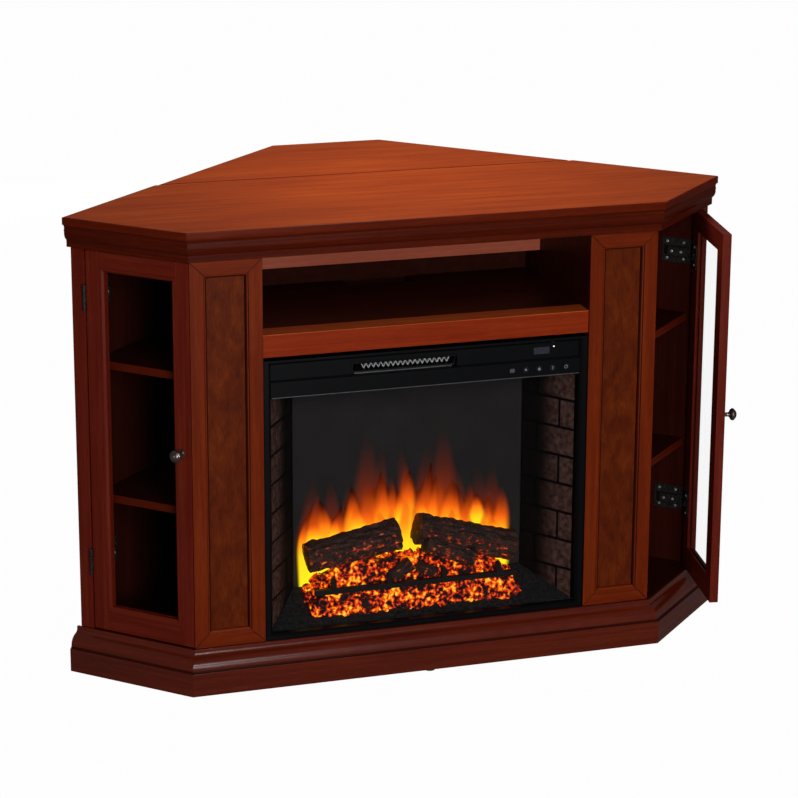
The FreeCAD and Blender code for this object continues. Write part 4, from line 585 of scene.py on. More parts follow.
# Light on the screen and no solid thing: yellow feet and red tips that fade.
FLAME = Flame("flame_light", "screen_acrylic", 1.3)
# Screen-printed ink: pale grey signs with a faint painted glow.
PRINT = Lit("grey_key_print_painted_glow", "key_plastic", "#86868c", 0.07)
# Clear lamp dome, lit: a white dot.
LAMP = Lit("white_indicator_lamp", "display_face", "#ffffff", 1.0)

CAD_FINISHES = {
    HARDBOARD: ("back_panel", "base_rails", "top_frame"),
    GLIDE: ("floor_glides",),
    PIN_STEEL: ("shelf_pins",),
    DOOR_GLASS: ("left_door_glass", "right_door_glass"),
    HINGE: ("left_hinge_cups", "right_hinge_cups", "door_hinge_arms", "leaf_hinge_plates",
            "leaf_hinge_straps", "brace_ears"),
    BLACK_METAL: ("heater_core", "firebox_shell", "leaf_braces", "brace_tracks", "lamp_board"),
    BLACK_PLASTIC: ("firebox_bezel", "header_panel"),
    FIRE_GLASS: ("firebox_glass",),
    RUBBER: ("cord_inlet",),
    DISPLAY: ("display_window",),
    CIRCUIT: ("control_board",),
    PLAIN_STEEL: ("blower_housing", "flame_spindle"),
    WHEEL: ("blower_wheel",),
    MOTOR: ("blower_motor", "flame_drive"),
    ASH: ("fire_tray",),
    SCREEN: ("flame_screen",),
    IRON: ("fire_grate",),
    KEY: tuple(f"control_key_{number}" for number in range(1, 6)),
}


def stand(name: str, data: bpy.types.ID) -> bpy.types.Object:
    """Makes an object of its data and links it to the scene.

    Args:
        name: Name of the object.
        data: Mesh, lamp or camera.

    Returns:
        The object.
    """
    made = bpy.data.objects.new(name, data)
    bpy.context.scene.collection.objects.link(made)
    return made


def mesh_of(part: bmesh.types.BMesh, name: str, finish: Finish) -> bpy.types.Mesh:
    """Turns gathered faces into a mesh in its finish, and frees them.

    Args:
        part: Faces, freed afterwards.
        name: Name of the mesh.
        finish: Finish of the piece.

    Returns:
        The mesh.
    """
    data = bpy.data.meshes.new(name)
    part.to_mesh(data)
    part.free()
    data.materials.append(finish.material())
    return data


def settle(piece: bpy.types.Object, body: str, nodes: Sequence[str] = ()) -> bpy.types.Object:
    """Lets a finished piece ride on its body and stand for the nodes that it replaces.

    Args:
        piece: The finished piece.
        body: Body that the piece rides on.
        nodes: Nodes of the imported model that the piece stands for.

    Returns:
        The same piece.
    """
    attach(piece, body)
    if nodes:
        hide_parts(*nodes)
    LOG.info("%s rides on %s", piece.name, body)
    return piece


class Work:
    """Closed parts gathered into one mesh, each with its own run of grain. Sizes are millimetres."""

    def __init__(self, name: str) -> None:
        """Starts an empty mesh.

        Args:
            name: Name of the piece, which also seeds its grain.
        """
        self.name = name
        self.chance = random.Random(name)
        self.whole = bmesh.new()
        self.whole.loops.layers.uv.new(GRAIN)

    def skin(self, rings: Sequence[Sequence[Point]], grain: Vector, ease: float = 0.8,
             place: Matrix = IDENTITY) -> None:
        """Closes one part through matching rings of points.

        Args:
            rings: Rings of points, in order along the part.
            grain: Way that the grain runs.
            ease: Rounding of the arrises, or 0 for none.
            place: Turns and moves the part into the stand's frame.
        """
        part = bmesh.new()
        loops = [[part.verts.new(point) for point in ring] for ring in rings]
        for low, high in zip(loops, loops[1:]):
            for i in range(len(low)):
                j = (i + 1) % len(low)
                part.faces.new((low[i], low[j], high[j], high[i]))
        part.faces.new(loops[0])
        part.faces.new(loops[-1])
        bmesh.ops.recalc_face_normals(part, faces=part.faces)
        if ease:
            part.normal_update()
            arrises = [edge for edge in part.edges if edge.calc_face_angle(0.0) > FLAT_LIMIT]
            bmesh.ops.bevel(part, geom=arrises, offset=ease, segments=2, profile=0.5, affect="EDGES",
                            clamp_overlap=True)
        self.take(part, grain, place)

    def take(self, part: bmesh.types.BMesh, grain: Vector, place: Matrix) -> None:
        """Maps a part's grain and adds it to the whole.

        Args:
            part: One closed part, freed afterwards.
            grain: Way that the grain runs.
            place: Moves and turns the part into the stand's frame.
        """
        part.normal_update()
        layer = part.loops.layers.uv.verify()
        shift = Vector((self.chance.uniform(0, 9), self.chance.uniform(0, 9)))
        for face in part.faces:
            along = grain if abs(face.normal.dot(grain)) < 0.9 else grain.orthogonal()
            across = face.normal.cross(along).normalized()
            for loop in face.loops:
                spot = loop.vert.co * MM
                loop[layer].uv = Vector((spot.dot(along), spot.dot(across))) + shift
        part.transform(place)
        if place.determinant() < 0:
            bmesh.ops.reverse_faces(part, faces=part.faces)
        holder = bpy.data.meshes.new("part")
        part.to_mesh(holder)
        part.free()
        holder.uv_layers[0].name = GRAIN
        self.whole.from_mesh(holder)
        bpy.data.meshes.remove(holder)

    def prism(self, plan: Sequence[Point], low: float, high: float, grain: Axis = Axis.ACROSS,
              ease: float = 0.8, place: Matrix = IDENTITY) -> None:
        """Raises a plan between two heights."""
        rings = [[(x, y, z) for x, y in plan] for z in (low, high)]
        self.skin(rings, grain.vector, ease, place)

    def box(self, low: Point, high: Point, grain: Axis = Axis.ACROSS, ease: float = 0.8,
            place: Matrix = IDENTITY) -> None:
        """Adds a square board between two corners."""
        plan = [(low[0], low[1]), (high[0], low[1]), (high[0], high[1]), (low[0], high[1])]
        self.prism(plan, low[2], high[2], grain, ease, place)

    def frame(self, low: Point, high: Point, profile: Sequence[Point], ease: float = 0.6,
              place: Matrix = IDENTITY, outer: Optional[Sequence[Point]] = None) -> None:
        """Runs a profile round an upright rectangle in four mitred lengths.

        Args:
            low: Across and height of the outer lower corner.
            high: Across and height of the outer upper corner.
            profile: Points as distance in from the outer edge, and depth.
            ease: Rounding of the arrises.
            place: Moves the frame into place.
            outer: Profile of the right-hand upright, where it differs.
        """
        def corner(number: int, inward: float) -> tuple[float, float]:
            """A corner of the rectangle moved inwards.

            Args:
                number: Corner, counted from the lower left.
                inward: Distance moved.

            Returns:
                Across and height of the corner.
            """
            x = low[0] + inward if number in (0, 3) else high[0] - inward
            z = low[1] + inward if number in (0, 1) else high[1] - inward
            return x, z

        for number in range(4):
            rings = []
            for end in (number, (number + 1) % 4):
                shape = outer if outer and number == 1 else profile
                ring = []
                for inward, depth in shape:
                    x, z = corner(end, inward)
                    if outer and end in (1, 2):
                        x = min(x, high[0] - (depth - profile[0][1]))
                    ring.append((x, depth, z))
                rings.append(ring)
            grain = Axis.UP if number % 2 else Axis.ACROSS
            self.skin(rings, grain.vector, ease, place)

    def turned(self, profile: Sequence[Point], place: Matrix, sides: int = 40) -> None:
        """Turns a profile of radius and height about its own upright axis.

        Args:
            profile: Points of radius and height.
            place: Moves and turns the part into the stand's frame.
            sides: Facets round the axis.
        """
        rings = []
        for radius, height in profile:
            turn = [math.tau * k / sides for k in range(sides)]
            rings.append([(radius * math.cos(a), radius * math.sin(a), height) for a in turn])
        self.skin(rings, Axis.UP.vector, 0.0, place)

    def spare(self, finish: Finish) -> bpy.types.Object:
        """Makes an object of the gathered parts for a node group to repeat, kept out of the scene."""
        self.whole.transform(Matrix.Scale(MM, 4))
        return bpy.data.objects.new(self.name, mesh_of(self.whole, self.name, finish))

    def piece(self, finish: Finish, body: str, *nodes: str) -> bpy.types.Object:
        """Makes one object of the gathered parts and lets it ride on a body.

        Args:
            finish: Finish of the piece.
            body: Body that the piece rides on.
            *nodes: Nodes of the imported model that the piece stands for.

        Returns:
            The piece.
        """
        self.whole.transform(Matrix.Scale(MM, 4))
        data = mesh_of(self.whole, self.name, finish)
        weigh(data)
        return settle(stand(self.name, data), body, nodes)


def weigh(data: bpy.types.Mesh) -> None:
    """Smooths a mesh by the area of its faces, so broad faces stay flat beside rounded arrises.

    Args:
        data: The mesh.
    """
    data.shade_smooth()
    data.set_sharp_from_angle(angle=FLAT_LIMIT)
    faces = [(face.normal.copy(), face.area, tuple(face.vertices)) for face in data.polygons]
    around: dict[int, list[int]] = {}
    for number, (_, _, corners) in enumerate(faces):
        for corner in corners:
            around.setdefault(corner, []).append(number)
    limit = math.cos(FLAT_LIMIT)
    normals = []
    for normal, _, corners in faces:
        for corner in corners:
            near = [faces[number] for number in around[corner]]
            total = sum((other * area for other, area, _ in near if other.dot(normal) > limit), Vector())
            normals.append(total.normalized())
    data.normals_split_custom_set(normals)


def band(made: bpy.types.Object, finish: Finish, chosen: Callable[[bpy.types.MeshPolygon], bool]) -> None:
    """Gives the chosen faces of a piece a second finish.

    Args:
        made: The piece.
        finish: Second finish.
        chosen: Tells whether a face takes it.
    """
    made.data.materials.append(finish.material())
    for face in made.data.polygons:
        face.material_index = int(chosen(face))


def is_edge(face: bpy.types.MeshPolygon) -> bool:
    """Whether a face is an upright edge or an arris of a level board."""
    return abs(face.normal.z) < FACE_ON


def is_ledge(face: bpy.types.MeshPolygon) -> bool:
    """Whether a face is the upper face or an upper arris of a rail."""
    return face.normal.z > UPWARD


def is_return(face: bpy.types.MeshPolygon) -> bool:
    """Whether a face of front work is a quirk, mitre or return that takes painted shade, and not a lower lip.
    """
    return abs(face.normal.y) < FACE_ON and face.normal.z < UPWARD


def bow(start: Point, end: Point, sag: float, steps: int = 8) -> list[tuple[float, float]]:
    """Points of a shallow arc from start up to, but not with, end.

    Args:
        start: First point.
        end: Point that the arc leads to.
        sag: Rise of the arc at its middle.
        steps: Straight stretches of the arc.

    Returns:
        The arc's points.
    """
    a, b = Vector(start), Vector(end)
    side = Vector((b.y - a.y, a.x - b.x)).normalized()
    shares = [k / steps for k in range(steps)]
    return [tuple(a.lerp(b, t) + side * (4 * sag * t * (1 - t))) for t in shares]


@dataclass(frozen=True)
class Plan:
    """Sizes that the sub-assemblies share, in millimetres."""

    front_width: float = 852.0
    side_run: float = 175.0
    top_depth: float = 379.0
    height: float = 819.0
    body_inset: float = 16.0
    wall_inset: float = 6.0
    back_front: float = 344.0
    board: float = 16.0
    front_board: float = 18.0
    base_height: float = 80.0
    floor_under: float = 62.0
    foot: float = 3.0
    crown_bottom: float = 766.0
    top_under: float = 805.0
    pilaster_width: float = 125.9
    bay_floor: float = 630.0
    post_width: float = 26.0

    @property
    def corner_x(self) -> float:
        """Half the width of the body's front face."""
        return self.front_width / 2 - self.body_inset * HALF_TURN

    @property
    def opening_half(self) -> float:
        """Half the width between the pilasters."""
        return self.corner_x - self.pilaster_width

    @property
    def side_length(self) -> float:
        """Length of a side face."""
        return self.side_run / DIAGONAL - self.body_inset * HALF_TURN - self.wall_inset

    @property
    def front_back(self) -> float:
        """Back of the front boards."""
        return self.body_inset + self.front_board

    @property
    def side_frame(self) -> Matrix:
        """Places work along the right side face: along it, inwards, up."""
        corner = Matrix.Translation((self.corner_x, self.body_inset, 0))
        return corner @ Matrix.Rotation(math.radians(45), 4, "Z")

    def side(self, along: float, inward: float) -> tuple[float, float]:
        """Plan place of a point on the right side face."""
        spot = self.side_frame @ Vector((along, inward, 0))
        return spot.x, spot.y

    def side_depth(self, along: float, back: float) -> float:
        """How far inwards a line across the side reaches a line parallel to the front."""
        return (back - self.body_inset) / DIAGONAL - along

    def outline(self, inset: float, wall: float, back: float) -> list[tuple[float, float]]:
        """The stand's plan moved in at the faces and wall edges, cut off at the back.

        Args:
            inset: Distance in from the front and side faces.
            wall: Distance in from the wall edges.
            back: Depth at which the plan is cut off.

        Returns:
            The outline's six points.
        """
        corner = self.front_width / 2 - inset * HALF_TURN
        total = self.front_width / 2 + 2 * self.side_run - wall / DIAGONAL
        shift = self.front_width / 2 - inset / DIAGONAL
        end_x = (total + shift) / 2
        right = [(corner, inset), (end_x, total - end_x), (total - back, back)]
        return right + [(-x, y) for x, y in reversed(right)]


@dataclass
class Casework:
    """Top, crown, plinth, pilasters, partitions, bay and shelves. Sizes are millimetres."""

    plan: Plan
    top_round: float = 2.2
    moulding_round: float = 0.5
    crown_foot: float = 6.0
    crown_flat: float = 12.0
    crown_waist: tuple[float, float] = (12.0, 29.0)
    crown_swell: float = 2.6
    crown_lip: float = 13.5
    crown_hollow: float = -1.5
    crown_short: float = 2.0
    plinth_tuck: float = 4.0
    fascia: tuple[float, float] = (28.0, 35.0)
    quirk: tuple[float, float] = (25.0, 32.0)
    quirk_step: float = 1.0
    quirk_reach: float = 0.4
    swell: tuple[float, float] = (9.0, 11.0)
    plinth_fillet: float = 5.0
    plinth_rounds: tuple[float, float, float] = (-0.75, 4.6, -1.0)
    member: float = 30.0
    member_bevel: float = 4.0
    member_quirk: tuple[float, float] = (1.2, 1.6)
    member_ovolo: float = 0.8
    panel_recess: float = 8.0
    panel_thick: float = 6.0
    shelf_tops: tuple[float, float] = (324.9, 565.0)
    shelf_thick: float = 14.0
    shelf_gap: float = 1.0
    shelf_setback: float = 6.0
    rail_height: float = 40.0
    rail_setback: float = 2.0
    rail_round: float = 1.2
    seam_round: float = 0.3
    notch_half: float = 60.0
    notch_depth: float = 40.0
    bay_back: tuple[float, float] = (268.0, 280.0)
    bay_gap: float = 50.0
    rail_depth: float = 46.0

    def build(self) -> None:
        """Builds and dresses every fixed board."""
        self.top()
        self.mouldings()
        self.pilasters()
        self.bay()
        self.side_cabinets()

    def top(self) -> None:
        """Adds the fixed board of the top."""
        plan = self.plan
        work = Work("top_board")
        work.prism(plan.outline(0, 0, plan.top_depth), plan.top_under, plan.height, ease=self.top_round)
        # Painted light on the top's upper face, painted shade on its edges.
        band(work.piece(TOP_CHERRY, "cabinet", "main_top"), DEEP_CHERRY, is_edge)

    def runs(self, name: str, node: str, profile: Sequence[Point], end: float,
             finish: Finish) -> bpy.types.Object:
        """Runs a profile of offsets and heights along the front and both sides, mitred.

        Args:
            name: Name of the object.
            node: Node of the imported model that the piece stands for.
            profile: Points of offset out from the body's face, and height.
            end: Distance along a side face where the moulding ends.
            finish: Finish of the piece.

        Returns:
            The piece.
        """
        plan, work = self.plan, Work(name)

        def corner(hand: int) -> list[tuple[float, float, float]]:
            """The profile cut along a front corner's mitre."""
            return [(hand * (plan.corner_x + out * HALF_TURN), plan.body_inset - out, z)
                    for out, z in profile]

        work.skin([corner(-1), corner(1)], Axis.ACROSS.vector, self.moulding_round)
        square = [(*plan.side(end, -out), z) for out, z in profile]
        way = Vector((DIAGONAL, DIAGONAL, 0))
        for hand in (Hand.RIGHT, Hand.LEFT):
            work.skin([corner(1), square], way, self.moulding_round, hand.flip)
        return work.piece(finish, "cabinet", node)

    def mouldings(self) -> None:
        """Adds the crown under the top and the moulded plinth, from outlines of offset and height."""
        plan = self.plan
        side = plan.side_length + plan.wall_inset
        low, high = plan.crown_bottom, plan.top_under
        foot, lip = self.crown_foot, self.crown_lip
        waist = (self.crown_waist[0], low + self.crown_waist[1])
        crown = [(0, low), (foot, low), *bow((foot, low + self.crown_flat), waist, self.crown_swell), waist,
                 *bow((lip, waist[1]), (lip, high), self.crown_hollow), (lip, high), (0, high)]
        self.runs("crown_lengths", "crown_moulding", crown, side - self.crown_short, CROWN_CHERRY)
        base, tuck, fillet = plan.base_height, self.plinth_tuck, self.plinth_fillet
        fascia, quirk, swell = [(out, base - drop) for out, drop in (self.fascia, self.quirk, self.swell)]
        shoulder, ovolo, cove = self.plinth_rounds
        plinth = [(-tuck, plan.foot), (fascia[0], plan.foot), *bow(fascia, quirk, shoulder, 4), quirk,
                  *bow((quirk[0] - self.quirk_step, quirk[1]), swell, ovolo, 10),
                  *bow(swell, (fillet, base - fillet), cove, 4), (fillet, base - fillet), (fillet, base),
                  (0, base), (0, plan.floor_under), (-tuck, plan.floor_under)]
        made = self.runs("plinth_lengths", "plinth_boards", plinth, side, PLINTH_CHERRY)
        # Painted shade in the plinth's quirk: a thin dark line.
        band(made, RECESS_SHADE_CHERRY, lambda face: fascia[1] < face.center.z / MM < quirk[1] + self.quirk_reach)

    def pilasters(self) -> None:
        """Adds the mitred frames, their corner returns and the recessed panels."""
        plan = self.plan
        frames, panels = Work("pilaster_members"), Work("pilaster_veneers")
        front, back = plan.body_inset, plan.front_back
        wide, bevel = self.member, self.member_bevel
        turn = wide - bevel
        notch = (turn - self.member_quirk[0], front + self.member_quirk[1])
        profile = [(0, front), (notch[0], front), notch, (turn, notch[1]),
                   *bow((turn, notch[1]), (wide, front + bevel), self.member_ovolo, 4), (wide, front + bevel),
                   (wide, back), (0, back)]
        low, high = (plan.opening_half, plan.base_height), (plan.corner_x, plan.crown_bottom)
        outer = profile[:-1] + [(plan.front_board, back)]
        for hand in Hand:
            frames.frame(low, high, profile, 0.8, hand.flip, outer)
            face = front + self.panel_recess
            panels.box((low[0] + wide, face, low[1] + wide),
                       (high[0] - wide, face + self.panel_thick, high[1] - wide), Axis.UP, 0.0, hand.flip)
        # Painted shade on the frames' quirks, mitres and recess walls.
        band(frames.piece(CHERRY, "cabinet", "pilaster_frames"), RECESS_SHADE_CHERRY, is_return)
        panels.piece(BURL_CHERRY, "cabinet", "pilaster_panels")

    def bay(self) -> None:
        """Adds the shelf, rail, stretcher and partitions of the open bay."""
        plan = self.plan
        half, floor = plan.opening_half, plan.bay_floor
        back, notch = plan.back_front, plan.back_front - self.notch_depth
        seam = plan.body_inset + self.rail_depth
        edge = [(-half, seam), (half, seam), (half, back), (self.notch_half, back),
                (self.notch_half, notch), (-self.notch_half, notch), (-self.notch_half, back), (-half, back)]
        shelf = Work("bay_shelf_board")
        shelf.prism(edge, floor - plan.front_board, floor)
        shelf.piece(SHADE_CHERRY, "cabinet", "media_shelf")
        rail = Work("bay_rail")
        rail.box((-half, plan.body_inset + self.rail_setback, floor - self.rail_height),
                 (half, plan.front_back, floor), ease=self.rail_round)
        rail.box((-half, plan.front_back, floor - plan.front_board), (half, seam, floor),
                 ease=self.seam_round)
        # Painted light on the rail's upper faces.
        band(rail.piece(RAIL_CHERRY, "cabinet", "shelf_rail"), LEDGE_CHERRY, is_ledge)
        stretcher = Work("bay_stretcher")
        stretcher.box((-half, self.bay_back[0], floor + self.bay_gap),
                      (half, self.bay_back[1], plan.top_under))
        stretcher.piece(BAY_CHERRY, "cabinet", "bay_back")
        sides = Work("partition_boards")
        for hand in Hand:
            sides.box((half, plan.front_back, plan.base_height), (half + plan.board, back, plan.top_under),
                      Axis.UP, place=hand.flip)
        sides.piece(SHADE_CHERRY, "cabinet", "partitions")

    def side_cabinets(self) -> None:
        """Adds the floor, posts, wall panels and adjustable shelves."""
        plan = self.plan
        floor = Work("floor_board")
        floor.prism(plan.outline(plan.body_inset, plan.wall_inset, plan.back_front), plan.floor_under,
                    plan.base_height)
        floor.piece(SHADE_CHERRY, "cabinet", "cabinet_floor")
        posts, walls, shelves = Work("post_boards"), Work("wall_boards"), Work("shelf_boards")
        start, end = plan.side_length - plan.post_width, plan.side_length
        deep = plan.front_board
        wall = [plan.side(start, deep), plan.side(start + plan.board, deep),
                plan.side(start + plan.board, plan.side_depth(start + plan.board, plan.back_front)),
                plan.side(start, plan.side_depth(start, plan.back_front))]
        setback, front = plan.front_board + self.shelf_setback, plan.front_back + self.shelf_setback
        rest, back = start - self.shelf_gap, plan.back_front - self.shelf_gap
        inner = plan.opening_half + plan.board + self.shelf_gap
        edge = [(inner, front), plan.side((front - plan.body_inset) / DIAGONAL - setback, setback),
                plan.side(rest, setback), plan.side(rest, plan.side_depth(rest, back)), (inner, back)]
        for hand in Hand:
            posts.box((start, 0, plan.base_height), (end, deep, plan.crown_bottom), Axis.UP,
                      place=hand.flip @ plan.side_frame)
            walls.prism(wall, plan.base_height, plan.top_under, Axis.UP, place=hand.flip)
            for top in self.shelf_tops:
                shelves.prism(edge, top - self.shelf_thick, top, place=hand.flip)
        posts.piece(DOOR_CHERRY, "cabinet", "end_posts")
        walls.piece(SHADE_CHERRY, "cabinet", "wall_panels")
        # Painted shade: dark inside faces, with the edges in the less dark deep cherry.
        band(shelves.piece(SHADE_CHERRY, "cabinet", "side_shelves"), DEEP_CHERRY, is_edge)


@dataclass
class GlazedDoor:
    """One glazed door: stiles, rails, moulded lip round the pane, beads and knob. Sizes are millimetres."""

    plan: Plan
    hand: Hand
    ajar: float = 0.0
    start: float = 1.4
    end: float = 205.863
    bottom: float = 82.0
    top: float = 764.0
    face: float = 0.0
    back: float = 16.0
    pane_front: float = 8.0
    pane_back: float = 12.0
    stile: float = 35.0
    top_rail: float = 36.0
    bottom_rail: float = 44.0
    lap: float = 8.0
    member_round: float = 1.0
    lip_bevel: float = 3.6
    lip_round: float = 0.3
    bead_play: tuple[float, float] = (0.4, 0.3)
    bead_bevel: float = 1.0
    axis: tuple[float, float] = (207.163, -3.4)
    knob_place: tuple[float, float] = (21.4, 430.4)
    knob_sink: float = 0.3

    @property
    def place(self) -> Matrix:
        """Places the door's own frame, turned ajar about its hinge.

        Returns:
            The door's frame in the stand's frame.
        """
        pin = Vector((*self.axis, 0))
        turn = Matrix.Rotation(math.radians(self.ajar), 4, "Z")
        swing = Matrix.Translation(pin) @ turn @ Matrix.Translation(-pin)
        return self.hand.flip @ self.plan.side_frame @ swing

    def build(self) -> None:
        """Builds and dresses the door."""
        side, body, place = self.hand.value, f"{self.hand.value}_door", self.place
        face, back, ease = self.face, self.back, self.member_round
        frame, beads = Work(f"{side}_door_members"), Work(f"{side}_bead_lengths")
        stile, lap = self.stile - self.lap, self.lap
        low, high = self.bottom + self.bottom_rail - lap, self.top - self.top_rail + lap
        for edge in (self.start, self.end - stile):
            frame.box((edge, face, self.bottom), (edge + stile, back, self.top), Axis.UP, ease, place)
        left, right = self.start + stile, self.end - stile
        for foot, head in ((self.bottom, low), (high, self.top)):
            frame.box((left, face, foot), (right, back, head), Axis.ACROSS, ease, place)
        lip = [(0, face), (lap - self.lip_bevel, face), (lap, face + self.lip_bevel), (lap, self.pane_front),
               (0, self.pane_front)]
        frame.frame((left, low), (right, high), lip, self.lip_round, place)
        frame.piece(DOOR_CHERRY, body, f"{side}_door_frame")
        edge, rest = self.bead_play[0], self.pane_back + self.bead_play[1]
        bead = [(edge, rest), (lap, rest), (lap, back - self.bead_bevel), (lap - self.bead_bevel, back),
                (edge, back)]
        beads.frame((left, low), (right, high), bead, self.lip_round, place)
        beads.piece(DOOR_CHERRY, body, f"{side}_glass_beads")
        self.knob(body, place)

    def knob(self, body: str, place: Matrix) -> None:
        """Adds the turned knob on its rose.

        Args:
            body: Body that the piece rides on.
            place: Moves and turns the part into the stand's frame.
        """
        spot = Matrix.Translation((self.knob_place[0], self.face - self.knob_sink, self.knob_place[1]))
        neck = [(POLE, 0.0), (7.6, 0.0), (7.6, 1.2), (6.8, 2.3), (4.4, 2.9), (3.8, 4.5), (3.8, 10.0),
                (5.0, 12.6)]
        head = [(7.8, 13.8), (9.9, 15.3), (10.9, 17.2), (11.0, 18.8), (10.5, 20.4), (9.4, 21.4), (9.0, 21.3),
                (8.0, 22.6), (6.0, 24.3), (3.4, 25.3), (1.2, 25.7), (POLE, 25.7)]
        work = Work(f"{self.hand.value}_turned_knob")
        work.turned(neck + head, place @ spot @ FORWARD)
        work.piece(KNOB, body, f"{self.hand.value}_door_knob")


@dataclass
class RearLeaf:
    """Board that fills the room's corner behind the seam, and folds down."""

    plan: Plan
    gap: float = 1.0
    front_half: float = 389.0
    back_half: float = 106.0
    edge_round: float = 1.6

    def build(self) -> None:
        """Builds the leaf's board."""
        front = self.plan.top_depth + self.gap
        back = front + self.front_half - self.back_half
        edge = [(-self.front_half, front), (self.front_half, front), (self.back_half, back),
                (-self.back_half, back)]
        work = Work("leaf_board")
        work.prism(edge, self.plan.top_under, self.plan.height, ease=self.edge_round)
        # Painted light on the leaf's upper face, painted shade on its edges.
        band(work.piece(TOP_CHERRY, "drop_leaf", "drop_leaf"), DEEP_CHERRY, is_edge)


def node_group(name: str, through: str, **kinds: str) -> bpy.types.NodeTree:
    """Makes an empty node group that takes one geometry and its sizes, and gives a geometry.

    Args:
        name: Name of the group.
        through: Name of the geometry that goes in and comes out.
        **kinds: Kind of socket for each named input.

    Returns:
        The group.
    """
    tree = bpy.data.node_groups.new(name, "GeometryNodeTree")
    for title, kind in {through: "Geometry", **kinds}.items():
        tree.interface.new_socket(title, in_out="INPUT", socket_type=f"NodeSocket{kind}")
    tree.interface.new_socket(through, in_out="OUTPUT", socket_type="NodeSocketGeometry")
    return tree


def plain(made: bpy.types.Object, tree: bpy.types.NodeTree, **inputs: object) -> bpy.types.Object:
    """Runs a node group on an object and leaves the result as its plain mesh.

    Args:
        made: Object that the group works on.
        tree: The node group.
        **inputs: Value of each named input.

    Returns:
        The same object, with no modifier left.
    """
    changer = made.modifiers.new("set_out", "NODES")
    changer.node_group = tree
    sockets = {item.name: item.identifier for item in tree.interface.items_tree if item.in_out == "INPUT"}
    for name, value in inputs.items():
        changer[sockets[name]] = value
    bpy.context.view_layer.update()
    ready = made.evaluated_get(bpy.context.evaluated_depsgraph_get())
    data = bpy.data.meshes.new_from_object(ready)
    made.modifiers.clear()
    made.data = data
    return made


@dataclass
class Repeats:
    """Small parts set out at listed places by a node group: a head at each place, facing outwards."""

    name: str
    spots: list[tuple[Vector, Vector]] = field(default_factory=list)

    def points(self) -> bpy.types.Object:
        """Makes loose points that carry the way each part faces.

        Returns:
            The points' object.
        """
        data = bpy.data.meshes.new(f"{self.name}_points")
        data.from_pydata([spot * MM for spot, _ in self.spots], [], [])
        facing = data.attributes.new("facing", "FLOAT_VECTOR", "POINT")
        for value, (_, way) in zip(facing.data, self.spots):
            value.vector = way
        return stand(self.name, data)

    def group(self, finish: Finish) -> bpy.types.NodeTree:
        """Makes the node group that sets out the parts.

        Args:
            finish: Finish of the parts.

        Returns:
            The node group, with its inputs named Spots and Part.
        """
        tree = node_group(f"{self.name}_group", "Spots", Part="Object")
        given = add(tree, "NodeGroupInput").outputs
        way = add(tree, "GeometryNodeInputNamedAttribute", {"Name": "facing"}, data_type="FLOAT_VECTOR")
        turn = add(tree, "FunctionNodeAlignRotationToVector", {"Vector": way.outputs[0]}, axis="Z")
        part = add(tree, "GeometryNodeObjectInfo", {"Object": given["Part"]})
        inputs = {"Points": given["Spots"], "Instance": part.outputs["Geometry"],
                  "Rotation": turn.outputs[0]}
        laid = add(tree, "GeometryNodeInstanceOnPoints", inputs)
        real = add(tree, "GeometryNodeRealizeInstances", {"Geometry": laid.outputs[0]})
        inputs = {"Geometry": real.outputs[0], "Material": finish.material()}
        dressed = add(tree, "GeometryNodeSetMaterial", inputs)
        add(tree, "NodeGroupOutput", {"Spots": dressed.outputs[0]})
        return tree

    def build(self, part: bpy.types.Object, finish: Finish, body: str) -> bpy.types.Object:
        """Sets out a part at every place and lets the result ride on a body."""
        made = plain(self.points(), self.group(finish), Part=part)
        return settle(made, body)


